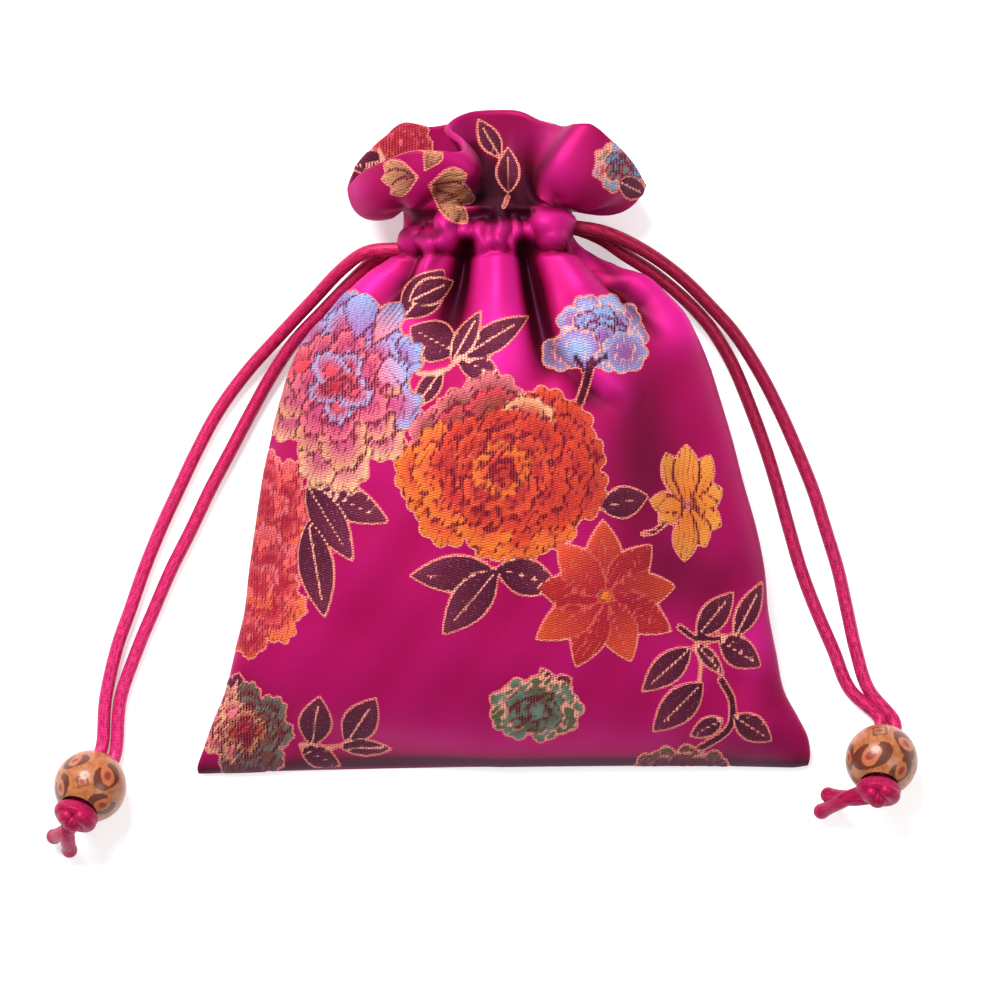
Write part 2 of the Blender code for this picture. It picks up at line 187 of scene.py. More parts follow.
# Across the body: y, left x, right x, seam height, top height, lowest height, roundness.
SECTIONS = np.array((
    (-58.3, -55.4, 55.1, 0.8, 1.6, 0, 2.2),
    (-57.2, -55.6, 55.4, 1.4, 4, 0, 2.2),
    (-55.3, -54.9, 55.4, 2.2, 7, 0, 2.2),
    (-52.5, -53.7, 54.8, 3.2, 10.2, 0, 2.2),
    (-49, -52.3, 53, 4.2, 13.2, 0, 2.2),
    (-44.1, -50.2, 50.4, 5.2, 16.2, 0, 2.2),
    (-37.5, -48.5, 49, 6.2, 19, 0, 2.2),
    (-30, -46.6, 47.5, 7, 21, 0, 2.2),
    (-22.5, -45.7, 46.8, 7.7, 22.6, 0, 2.2),
    (-15, -44.6, 45.3, 8.2, 23.6, 0, 2.2),
    (-7, -43.4, 43, 8.6, 24.2, 0, 2.2),
    (1, -41.8, 40.9, 9, 24.4, 0, 2.2),
    (8, -40, 38.8, 9.2, 24.2, 0, 2.2),
    (14, -38.1, 36.9, 9.4, 23.6, 0, 2.2),
    (19, -35.6, 34.8, 9.6, 22.8, 0.2, 2.2),
    (23, -31.9, 32.2, 9.8, 21.9, 0.5, 2.2),
    (26.5, -28.2, 29, 10, 20.9, 0.8, 2.3),
    (29.5, -24.6, 25.4, 10, 20, 1.1, 2.5),
    (32, -21.2, 20.2, 10, 19.2, 1.3, 2.8),
    (34.2, -19, 15.6, 10, 18.7, 1.4, 3.2),
    (36.8, -18.2, 12.6, 10, 18.5, 1.5, 3.2),
    (39.6, -18, 12.2, 10, 18.5, 1.5, 3.2),
    (42, -18, 12.2, 10, 18.5, 1.5, 3.2),
))
# The ruffle's edge, over the front from left to right and back underneath.
RIM_FRONT = (
    (-28.1, 45.9, 9), (-25.6, 48.4, 13.5), (-21, 50.2, 18), (-16.6, 51.3, 21),
    (-11.5, 51.3, 22), (-7.4, 51.5, 20.5), (-7.4, 54.2, 15.5), (-9.6, 57, 11.3),
    (-6.3, 59.4, 8.2), (-0.7, 59.9, 7.4), (2.9, 59.6, 7.8), (6.5, 57.8, 10),
    (10.4, 56.5, 14.5), (12.6, 56.7, 18.5), (15.8, 56.3, 19.5), (19.4, 53.6, 17.5),
    (22.7, 50.4, 14), (25.4, 46.3, 9),
)
RIM_BACK = (
    (25.4, 46.3, 9), (23, 48.6, 4.6), (19.1, 51.7, 2.6), (14.6, 55.6, 1.7),
    (9.5, 57.8, 1.5), (3.8, 59.2, 1.4), (-1.6, 59.6, 1.4), (-7.6, 58.5, 1.4),
    (-13.3, 57.4, 2), (-18.2, 58, 2.8), (-21.4, 55.6, 3), (-25, 52.2, 4),
    (-27.4, 48.6, 6), (-28.1, 45.9, 9),
)
# Where the ruffle bulges between the casing and its edge, point for point with RIM_FRONT.
MID_FRONT = (
    (-27, 38, 9.5), (-25.5, 39.5, 15), (-21, 42, 19.5), (-15, 44, 21.8),
    (-7.5, 45.6, 22.8), (-1.2, 47, 21.5), (0.4, 47.4, 15.5), (-1.6, 46.4, 8),
    (-1.4, 46.2, 5.4), (0.2, 46, 4.6), (1.6, 46.2, 5.4), (2.2, 46.4, 8),
    (3.2, 47.2, 17), (5.6, 46.8, 21.5), (11.5, 45.2, 21.7), (17, 43, 19),
    (20.8, 40.4, 15), (22.2, 38.6, 9.5),
)
# Folds below the casing: (x, y, height, width) along each; a minus height is a valley.
FOLDS = (
    ((-6.7, 35.6, -2.6, 1.3), (-8.2, 29.1, -2.8, 2), (-9.6, 22.6, -1.6, 3), (-11.1, 16.5, 0, 4)),
    ((3.7, 35.6, -2.8, 1.4), (5.3, 27.6, -3, 1.9), (6.9, 18.6, -2, 2.4), (8.7, 10, 0, 3.2)),
    ((-1.3, 35.9, 1.2, 2.2), (-1, 25.8, 1.5, 3.2), (-0.1, 15, 0.8, 4.2), (0.3, 6, 0, 5)),
    ((8.4, 35.6, 1, 2.2), (13.4, 27.6, 1.9, 3.4), (18.1, 19.5, 1.4, 4.2), (22.8, 9.6, 0, 5.5)),
    ((13.2, 35.6, -1.8, 1.2), (18.3, 30.9, -2.4, 2), (24.6, 24.9, -1.9, 2.8), (29.6, 17.7, 0, 3.8)),
    ((15.6, 35.6, 0.6, 1.6), (24.6, 30.9, 1.2, 2.2), (31.8, 23, 1.3, 3), (36.1, 15, 0, 4)),
    ((-12.1, 35.2, 0.8, 1.6), (-13.9, 30.9, 1.3, 2.4), (-16.5, 25.8, 0.7, 3), (-19.3, 20.4, 0, 4)),
    ((-15, 33.8, -0.9, 1.2), (-17.9, 28.7, -1.9, 2.2), (-21.1, 24.8, -1.3, 3.2), (-25.8, 19, 0, 4.4)),
    ((-17.9, 34.5, 0.4, 1.2), (-22.9, 30.9, 1.1, 2.2), (-28.5, 25.8, 0.9, 3.2), (-33, 19, 0, 4)),
    ((10.2, 15, -0.7, 2), (14.7, 9.3, -0.9, 2.4), (21, 5.7, 0, 3)),
    ((15.6, 12.9, 0.5, 1.8), (18.8, 10, 0.8, 2), (24.6, 7.8, 0, 3)),
    ((-36.6, -10.2, -0.5, 4), (-43.5, -21, -0.9, 5), (-45.3, -31.8, 0, 5)),
    ((42.9, -21, 0.3, 4), (46.2, -32.7, 0.9, 4), (44.7, -42.6, 0, 5)),
    ((-47.4, -44.4, -0.6, 4), (-36.6, -53.7, -0.9, 5), (-15, -57, -0.5, 5), (-0.6, -57.7, 0, 5)),
    ((35.4, -46.2, 0, 6), (46.2, -52.5, 0.9, 5), (52.5, -57, 0.4, 3)),
)
# Painted shade along the creases: (x, y, depth, width) along each.
CREASE_SHADE = (
    ((-5.5, 53.2, 0.6, 1.3), (-0.8, 46.4, 0.9, 1.7), (-2.2, 41.3, 1, 1.9)),
    ((11.3, 55.4, 0.35, 1), (5.7, 48.2, 0.8, 1.6), (3.7, 42.4, 0.95, 1.9)),
    ((-4.6, 42.8, 0.7, 1.6), (-1, 41, 0.9, 2.2), (3.3, 41.3, 0.8, 1.8)),
    ((-19.3, 37.9, 0.6, 0.9), (-13.2, 36.6, 0.6, 0.9), (-6.4, 40.2, 0.55, 0.9)),
    ((12.9, 37.4, 0.6, 0.9), (17.4, 39.2, 0.5, 0.9), (21.3, 41.3, 0.3, 0.9)),
    ((-6.4, 34.8, 0.9, 0.9), (-7.5, 28.5, 0.9, 1.3), (-9.4, 22.2, 0.45, 1.7)),
    ((2.8, 34.8, 0.9, 1), (5.1, 25.8, 0.85, 1.4), (7.5, 16.8, 0.45, 1.7)),
    ((15.2, 34.5, 0.6, 0.8), (20.6, 28.7, 0.75, 1.3), (26.4, 23.7, 0.3, 1.7)),
    ((-11.1, 33.8, 0.5, 0.8), (-14.7, 29.1, 0.55, 1.2), (-19, 25.1, 0.25, 1.5)),
)
# Spots of painted highlight on the satin, then spots of painted shade: x, y, reach across and along,
# strength.
PAINTED_HIGHLIGHTS = ((-26.7, 29.4, 8, 4, 0.80), (31.8, 21.9, 6.5, 5, 0.85), (25.5, 27.6, 6, 3, 0.60),
         (17.7, 10.4, 4, 3, 0.70), (44.9, -35.4, 3, 6, 0.75), (30.9, -40.4, 5, 5, 0.35),
         (-0.6, 16.8, 4, 7, 0.45), (-26.5, 46.4, 2.5, 3, 0.5), (-7.5, 54.6, 2.6, 5, 0.6),
         (4.8, 54.6, 4, 3.5, 0.5), (9.5, 49.6, 2.6, 6, 0.6), (-20.4, -4.8, 5, 6, 0.2))
SHADE = ((24.6, -4.8, 8.5, 16, 0.95), (33.6, -23.7, 13, 8, 0.70), (48.3, -47.1, 4, 8, 0.40),
         (41.7, -54.3, 12, 4, 0.45), (24.6, 8.7, 5, 8, 0.25), (12.9, -59.5, 60, 3.8, 0.95),
         (-1.3, 42.8, 4.2, 3.6, 1.1), (-0.6, 36.6, 18, 1.6, 0.25), (-19.5, 39.3, 8, 4, 0.25),
         (15.6, 41.1, 9, 5, 0.25))
# Gathers of the casing on the front: x, y, half width, half length, height.
PUFFS = ((-16.9, 36.4, 2.8, 2.4, 1.2), (-13.3, 36, 2.4, 2.6, 1.7), (-10.2, 37.6, 2.5, 3.6, 2.5),
         (-6.8, 36.7, 1.9, 2.8, 1.3), (-4.2, 36.6, 1.8, 3, 1.9), (-0.7, 38, 2.1, 3.8, 2.7),
         (2, 37.1, 1.5, 3, 1.6), (4.1, 36.7, 1.4, 2.7, 1.2), (8.3, 38.6, 3.6, 4, 3.3),
         (11.6, 36.9, 1.4, 2.6, 0.8))


def catmull(points, positions):
    points = np.asarray(points, float)
    padded = np.vstack((2 * points[0] - points[1], points, 2 * points[-1] - points[-2]))
    index = np.clip(positions.astype(int), 0, len(points) - 2)
    t = (positions - index)[:, None]
    p0, p1, p2, p3 = (padded[index + k] for k in range(4))
    return 0.5 * (2 * p1 + (p2 - p0) * t + (2 * p0 - 5 * p1 + 4 * p2 - p3) * t ** 2
                  + (3 * p1 - p0 - 3 * p2 + p3) * t ** 3)


def even(points, count):
    fine = catmull(points, np.linspace(0, len(points) - 1, 4001))
    run = np.concatenate(([0], np.cumsum(np.linalg.norm(np.diff(fine[:, :3], axis=0), axis=1))))
    goal = np.linspace(0, run[-1], count)
    return np.stack([np.interp(goal, run, fine[:, k]) for k in range(fine.shape[1])], axis=1)


def smooth(value, low, high):
    t = np.clip((value - low) / (high - low), 0.0, 1.0)
    return t * t * (3 - 2 * t)


def stroke_field(strokes, x, y):
    total = np.zeros_like(x)
    for fold in strokes:
        best = np.full(x.shape, 1e9)
        value = np.zeros_like(x)
        for (ax, ay, ah, aw), (bx, by, bh, bw) in zip(fold, fold[1:]):
            dx, dy = bx - ax, by - ay
            t = np.clip(((x - ax) * dx + (y - ay) * dy) / (dx * dx + dy * dy), 0, 1)
            away = np.hypot(x - ax - t * dx, y - ay - t * dy)
            near = away < best
            height = (ah + (bh - ah) * t) * np.exp(-(away / (aw + (bw - aw) * t)) ** 2)
            value = np.where(near, height, value)
            best = np.where(near, away, best)
        total += value
    return total


def fold_field(x, y):
    total = stroke_field(FOLDS, x, y)
    return total * np.where(total < 0, 1.55, 1.25)


def puff_field(x, y):
    """Rounded gathers of the casing with tight creases between them."""
    total = np.full(x.shape, -1.3)
    bend = 0.35 * np.sin(y * 1.1 + x * 0.4)
    for cx, cy, half, length, height in PUFFS:
        reach = np.clip(1 - ((x + bend - cx) / (half * 1.1)) ** 2 - ((y - cy) / length) ** 2 * 0.8, 0, 1)
        total = np.maximum(total, (height + 1.3) * np.sqrt(reach) - 1.3)
    return total * smooth(y, 32.6, 34.6) * (1 - smooth(y, 40.6, 42.0))


def grid_normals(grid):
    around = np.roll(grid, -1, axis=1) - np.roll(grid, 1, axis=1)
    up = np.empty_like(grid)
    up[1:-1] = grid[2:] - grid[:-2]
    up[0], up[-1] = grid[1] - grid[0], grid[-1] - grid[-2]
    normal = np.cross(around, up)
    return normal / np.maximum(np.linalg.norm(normal, axis=2, keepdims=True), 1e-9)


def body_grid():
    rows = even(SECTIONS, BODY_ROWS)
    angle = np.concatenate((np.linspace(0, np.pi, FRONT, endpoint=False),
                            np.linspace(np.pi, 2 * np.pi, BACK, endpoint=False)))
    front = angle < np.pi
    grid = np.zeros((BODY_ROWS, COLUMNS, 3))
    for r, (y, left, right, seam, top, low, power) in enumerate(rows):
        cosine, sine = np.cos(angle), np.abs(np.sin(angle))
        side = -np.sign(cosine) * np.abs(cosine) ** (2 / power)
        lift = sine ** (2 / power)
        z = np.where(front, seam + (top - seam) * lift,
                     seam + (low - seam) * np.minimum(1.0, 1.22 * lift))
        corner = np.clip((-30.0 - y) / 28.3, 0, 1) ** 2
        grid[r, :, 0] = 0.5 * (left + right) + 0.5 * (right - left) * side
        grid[r, :, 1] = y + (0.75 * side - 0.5 * side ** 2) * corner
        grid[r, :, 2] = z
    normal = grid_normals(grid)
    x, y = grid[:, :, 0], grid[:, :, 1]
    face = np.where(front[None, :], smooth(np.sin(angle), 0.0, 0.35)[None, :], 0.0)
    ripple = (np.sin(x * 0.23 + y * 0.11 + 1.0) * np.sin(y * 0.17 - x * 0.05)
              + 0.5 * np.sin(x * 0.51 - y * 0.37)) * 0.17 * smooth(y, -57, -48)
    height = (fold_field(x, y) * (1 - smooth(y, 35, 38)) + puff_field(x, y)) * face + ripple * face
    grid += normal * height[:, :, None]
    back = (~front)[None, :]
    gather = smooth(y, 10, 30) * (1 - smooth(y, 41, 42.5))
    grid[:, :, 2] += np.where(back, gather * 0.7 * (1 + np.sin(x * 1.7)), 0.0)
    grid[:, :, 2] = np.maximum(grid[:, :, 2], 0.0)
    return grid


def ruffle_grid(neck):
    both = np.hstack((RIM_FRONT, MID_FRONT))
    front = even(both, FRONT + 1)
    back = even(RIM_BACK, BACK + 1)
    rim = np.vstack((front[:-1, :3], back[:-1]))
    start = np.vstack((neck, neck[:1]))[FRONT:]
    middle_back = start * 0.5 + back * 0.5
    middle_back[:, 2] = np.minimum(middle_back[:, 2], np.maximum(back[:, 2], start[:, 2] * 0.6 + 0.2))
    ease = np.clip(np.minimum(np.arange(BACK + 1), BACK - np.arange(BACK + 1)) / 14.0, 0, 1)[:, None]
    ends = np.linspace(0, 1, BACK + 1)[:, None]
    side_value = np.array(MID_FRONT[-1]) * (1 - ends) + np.array(MID_FRONT[0]) * ends
    middle_back = middle_back * ease + side_value * (1 - ease)
    middle = np.vstack((front[:-1, 3:], middle_back[:-1]))
    t = (np.arange(1, RUFFLE_ROWS + 1) / RUFFLE_ROWS)[:, None, None]
    grid = neck * (1 - t) ** 2 + middle * 2 * t * (1 - t) + rim * t ** 2
    t = t[:, :, 0]
    column = np.arange(COLUMNS)[None, :] / FRONT
    flute = np.sin(column * 37 + 0.6) * 0.8 + np.sin(column * 61 + 2.0) * 0.45
    flute = flute * (1 - t) ** 1.3 * np.minimum(1, t * 8)
    flute = flute + 0.25 * np.sin(column * 17 + t * 3) * t
    flute = np.where(column < 1, flute, flute * 0.3)
    return grid + grid_normals(grid) * flute[:, :, None]


def blur(field, rows, columns):
    """Mean over a window; wraps round the columns."""
    wide = np.pad(field, ((rows, rows), (0, 0)), mode="edge")
    run = np.cumsum(np.vstack((np.zeros((1, wide.shape[1])), wide)), axis=0)
    field = (run[2 * rows + 1:] - run[:-2 * rows - 1]) / (2 * rows + 1)
    wide = np.pad(field, ((0, 0), (columns, columns)), mode="wrap")
    run = np.cumsum(np.hstack((np.zeros((len(wide), 1)), wide)), axis=1)
    return (run[:, 2 * columns + 1:] - run[:, :-2 * columns - 1]) / (2 * columns + 1)


def spot(x, y, cx, cy, rx, ry):
    return np.exp(-((x - cx) / rx) ** 2 - ((y - cy) / ry) ** 2)


def painted_light_fields(grid, zone):
    """Painted shade (0 to 2) and painted highlight (0 to 1) at each point: shade in hollows and creases,
    highlight on raised parts and in given spots.
    """
    outer = int((zone < 0.5).sum())
    x, y, z = grid[:, :, 0], grid[:, :, 1], grid[:, :, 2].copy()
    front = np.arange(grid.shape[1]) <= FRONT
    sunk = np.zeros(z.shape)
    # Painted shade where the cloth lies lower than the cloth round it, painted highlight where it lies
    # higher.
    for rows, columns, scale in ((4, 9, 1.1), (7, 22, 2.6)):
        level = z[:outer].copy()
        away = blur(blur(level, rows, columns), rows, columns) - level
        sunk[:outer] += away / scale
    painted_shade = np.clip(sunk, 0, 1) * (1 - 0.6 * smooth(y, 42, 45)) * front
    painted_highlight = np.clip(-sunk * 0.8, 0, 1) * front
    painted_highlight *= 0.7 * (1 - 0.7 * smooth(y, 41, 43))
    # Given spots of painted highlight and of painted shade.
    for cx, cy, rx, ry, gain in PAINTED_HIGHLIGHTS:
        painted_highlight += gain * spot(x, y, cx, cy, rx, ry) * front
    for cx, cy, rx, ry, gain in SHADE:
        painted_shade += gain * spot(x, y, cx, cy, rx, ry) * front
    # Painted shade along the creases.
    painted_shade[:outer] += stroke_field(CREASE_SHADE, x[:outer], y[:outer]) * front
    # Painted shade in the dip between the ruffle's two lobes.
    painted_shade[:outer] += (0.9 * smooth(z, 17, 8) * spot(x, y, 0.3, 47.0, 6.0, 6.0))[:outer] * front
    # A little painted shade over the front of the ruffle.
    painted_shade[:outer] += 0.22 * (smooth(y, 42, 44) * front)[:outer]
    # Painted shade inside the ruffle, darker lower down towards the neck.
    painted_shade[outer:] = 0.12 + 0.8 * smooth(y[outer:], 54, 47)
    return np.clip(painted_shade, 0, 2), np.clip(painted_highlight, 0, 1)


def cloth_grid():
    body = body_grid()
    ruffle = ruffle_grid(body[-1])
    outer = np.concatenate((body, ruffle))
    normal = grid_normals(outer)
    steps = np.round(np.linspace(len(outer) - 1, BODY_ROWS + 6, INNER_ROWS)).astype(int)
    inner = outer[steps] - normal[steps] * WALL
    lip = (outer[-1] + inner[0]) / 2 + np.array((0, 0.25, 0))
    grid = np.concatenate((outer, lip[None], inner))
    zone = np.concatenate((np.zeros(len(outer)), np.ones(1 + len(inner))))
    return grid, zone


# ------------------------------------------------------------------ woven pattern
PLUM, PLUM_LIGHT = srgb(52, 17, 32), srgb(96, 36, 54)
ROSE_GOLD = srgb(236, 160, 136)
CORAL, RED, ORANGE, AMBER = srgb(200, 58, 66), srgb(160, 26, 40), srgb(196, 64, 24), srgb(222, 116, 30)
CREAM, BLUSH, BLUE, VIOLET = srgb(232, 178, 128), srgb(210, 104, 112), srgb(128, 162, 206), srgb(136, 84, 146)
FLAME, RUST, SALMON = srgb(206, 78, 32), srgb(166, 42, 28), srgb(228, 92, 84)
MARIGOLD, SHRIMP, GARNET, SAND = srgb(242, 160, 64), srgb(196, 84, 66), srgb(140, 22, 40), srgb(208, 150, 104)
GREEN, TEAL, GOLD = srgb(72, 92, 58), srgb(98, 132, 116), srgb(224, 150, 70)
WINE, UMBER, MAUVE = srgb(84, 8, 28), srgb(112, 62, 40), srgb(176, 66, 104)


class Weave:
    """Woven motifs on one face of the cloth, as distances and colours at its points."""

    def __init__(self, x, y):
        self.x, self.y = x, y
        self.motif = np.full(x.shape, -9.0)
        self.line = np.full(x.shape, 9.0)
        self.thread = np.tile(np.array(PLUM), (x.size, 1))
        self.trim = np.tile(np.array(ROSE_GOLD), (x.size, 1))

    def near(self, x, y, reach):
        return np.nonzero((np.abs(self.x - x) < reach) & (np.abs(self.y - y) < reach))[0]

    def lay(self, at, inside, colour, trim):
        """inside is the distance in from the shape's edge at those points, minus outside it."""
        closer = (inside > 0) | (inside > self.motif[at])
        colour = np.broadcast_to(np.asarray(colour, float), (at.size, 3))
        self.thread[at[closer]] = colour[closer]
        self.trim[at[closer]] = trim
        self.line[at] = np.where(inside > 0, inside, np.minimum(self.line[at], -inside))
        self.motif[at] = np.maximum(self.motif[at], inside)

    def petal(self, x, y, angle, length, width, inner, outer, trim=ROSE_GOLD, blunt=1.0, vein=False,
              hatch=0.0):
        """A petal or leaf from its base, with a colour that runs from inner to outer."""
        at = self.near(x, y, length * 1.1 + width + 2)
        dx, dy = self.x[at] - x, self.y[at] - y
        c, s = math.cos(angle), math.sin(angle)
        along, across = (dx * c + dy * s) / length, -dx * s + dy * c
        t = np.clip(along, 0, 1)
        half = width / 2 * np.sin(np.pi * t ** blunt) ** (0.75 if blunt > 1.2 else 0.9)
        inside = half - np.abs(across)
        over = np.maximum(along - 1, -along) * length
        inside = np.where(over > 0, -np.hypot(over, np.abs(across)), inside * 0.85)
        blend = np.clip(along, 0, 1)[:, None] ** 1.3
        self.lay(at, inside, np.array(inner) * (1 - blend) + np.array(outer) * blend, trim)
        if hatch:
            rows = np.abs((across / hatch + 0.25 * np.sin(along * 9)) % 1 - 0.5) * hatch + 0.10
            self.line[at] = np.where(inside > 0.25, np.minimum(self.line[at], rows), self.line[at])
        if vein:
            centre = np.abs(across) + np.where((along > 0.05) & (along < 0.82), 0, 3)
            rib = np.abs((along * length - np.abs(across) * 1.1) % 2.4 - 1.2) + 0.16
            rib = rib + np.where((along > 0.2) & (along < 0.8) & (across > 0), 0, 3)
            marks = np.where(inside > 0.25, np.minimum(centre, rib), 9)
            self.line[at] = np.minimum(self.line[at], marks)

    def bloom(self, x, y, rx, ry, inner, outer, trim=WINE, lobes=7, depth=0.08, turn=0.0, start=0.0):
        """A round petal with a scalloped edge."""
        at = self.near(x, y, max(rx, ry) * 1.3 + 2)
        c, s = math.cos(turn), math.sin(turn)
        dx, dy = self.x[at] - x, self.y[at] - y
        u, v = (dx * c + dy * s) / rx, (-dx * s + dy * c) / ry
        radius, theta = np.hypot(u, v), np.arctan2(v, u)
        edge = 1 + depth * (np.abs(np.cos(theta * lobes / 2 + start)) * 2 - 1.3)
        inside = (edge - radius) * min(rx, ry)
        blend = np.clip(radius, 0, 1)[:, None] ** 2.2
        self.lay(at, inside, np.array(inner) * (1 - blend) + np.array(outer) * blend, trim)
        rays = lobes * 1.5
        ray = np.abs((theta * rays / math.pi + start) % 1 - 0.5) * math.pi / rays * radius * min(rx, ry)
        marks = np.where((radius > 0.3) & (inside > 0.2), ray + 0.11, 9)
        self.line[at] = np.where(inside > 0, np.minimum(self.line[at], marks), self.line[at])

    def stem(self, points, width=0.5, colour=ROSE_GOLD):
        fine = catmull(np.array(points, float), np.linspace(0, len(points) - 1, 24))
        middle, span = fine.mean(axis=0), np.ptp(fine, axis=0).max()
        at = self.near(middle[0], middle[1], span + 2)
        away = np.full(at.size, 1e9)
        for (ax, ay), (bx, by) in zip(fine, fine[1:]):
            dx, dy = bx - ax, by - ay
            t = np.clip(((self.x[at] - ax) * dx + (self.y[at] - ay) * dy) / (dx * dx + dy * dy), 0, 1)
            away = np.minimum(away, np.hypot(self.x[at] - ax - t * dx, self.y[at] - ay - t * dy))
        near = away < width / 2 + 0.6
        at, away = at[near], away[near]
        self.lay(at, width / 2 - away, colour, ROSE_GOLD)
        if colour is PLUM:
            self.line[at[away < width / 2]] = 9.0

    def leaf(self, x0, y0, x1, y1, width):
        """A leaf from its stalk to its tip."""
        self.petal(x0, y0, math.atan2(y1 - y0, x1 - x0), math.dist((x0, y0), (x1, y1)), width,
                   PLUM, PLUM_LIGHT, vein=True, blunt=0.9)

    def leaves(self, *rows):
        for row in rows:
            self.leaf(*row)

    def star(self, x, y, petals, centre):
        for angle, length, width, inner, outer in petals:
            self.petal(x, y, math.radians(angle), length, width, inner, outer, SHRIMP, hatch=1.3)
            self.fine_lines(x, y, math.radians(angle), length)
        self.bloom(x, y, 1.3, 1.1, centre, centre, WINE, lobes=5)

    def fine_lines(self, x, y, angle, length):
        at = self.near(x, y, length + 1)
        dx, dy = self.x[at] - x, self.y[at] - y
        along = (dx * math.cos(angle) + dy * math.sin(angle)) / length
        across = np.abs(-dx * math.sin(angle) + dy * math.cos(angle))
        marks = across + np.where((along > 0.2) & (along < 0.75), 0.08, 9)
        self.line[at] = np.minimum(self.line[at], marks)

    def cloud(self, x, y, size, colours, seed, flat=0.8):
        """A small flower of overlapping round lobes."""
        rng = random.Random(seed)
        for ring, (count, reach, lobe) in enumerate(((9, 0.68, 0.36), (6, 0.36, 0.32), (3, 0.12, 0.26))):
            for k in range(count):
                a = 2 * math.pi * k / count + ring * 0.5 + rng.uniform(-0.12, 0.12)
                tint = colours[(k + ring) % len(colours)]
                edge = colours[(k + ring + 1) % len(colours)]
                trim = ROSE_GOLD if ring == 0 else WINE
                self.bloom(x + math.cos(a) * reach * size, y + math.sin(a) * reach * size * flat,
                           lobe * size, lobe * size * 0.9, tint, edge, trim=trim, lobes=5, depth=0.10,
                           turn=a, start=rng.uniform(0, 3))

    def peony(self, x, y, rx, ry, tint, seed, turn=0.0, rings=None, trim=WINE):
        """Rings of overlapping scalloped petals; tint gives the colours by ring and direction."""
        rng = random.Random(seed)
        rings = rings or ((11, 0.74, 0.33), (9, 0.54, 0.31), (7, 0.35, 0.27), (5, 0.18, 0.22),
                          (2, 0.05, 0.15))
        for ring, (count, reach, lobe) in enumerate(rings):
            order = list(range(count))
            rng.shuffle(order)
            for k in order:
                a = 2 * math.pi * (k + 0.5 * (ring % 2)) / count + turn + rng.uniform(-0.14, 0.14)
                px = x + math.cos(a) * reach * rx
                py = y + math.sin(a) * reach * ry
                inner, outer = tint(ring, a)
                size = lobe * rng.uniform(0.88, 1.14)
                self.bloom(px, py, size * rx, size * ry * 1.05, inner, outer, trim=trim, lobes=9,
                           depth=0.09, turn=a + math.pi / 2, start=rng.uniform(0, 3))


def pink_blue(ring, a):
    up, side = math.sin(a), math.cos(a)
    if ring == 0:
        if up > 0.3:
            return (VIOLET, BLUE) if side > -0.6 else (MAUVE, BLUE)
        if up < -0.3:
            return MAUVE, CREAM
        return (MAUVE, BLUE) if side > 0 else (CORAL, BLUSH)
    if ring == 1:
        return (MAUVE, BLUE) if up > 0.5 else (MAUVE, SAND) if up < 0 or side > 0 else (CORAL, BLUSH)
    return ((CORAL, BLUE), (RED, BLUSH), (MAUVE, BLUSH))[ring % 3]


def orange_cream(ring, a):
    up, side = math.sin(a), math.cos(a)
    if ring == 0:
        if up > 0.45:
            return (UMBER, BLUSH) if side < -0.05 else (MAUVE, CREAM) if side < 0.5 else (RUST, FLAME)
        if side < -0.3:
            return (RUST, CREAM) if up > 0.1 else (ORANGE, AMBER)
        return (FLAME, AMBER) if up < -0.5 else (RUST, FLAME)
    if ring == 1:
        if up > 0.6:
            return (UMBER, CORAL) if side < 0 else (RUST, CREAM)
        return (FLAME, AMBER) if side < 0 else (RUST, ORANGE)
    return ((RUST, FLAME), (FLAME, AMBER), (RUST, ORANGE))[ring % 3]


def red_tint(ring, a):
    return (RED, SALMON) if ring % 2 else (SALMON, AMBER if math.sin(a) < -0.3 else BLUSH)


def green_tint(ring, a):
    if ring > 1:
        return (RUST, CREAM) if ring == 2 else (RED, BLUSH)
    return (UMBER, TEAL) if math.cos(a) > -0.4 else (BLUSH, CREAM)


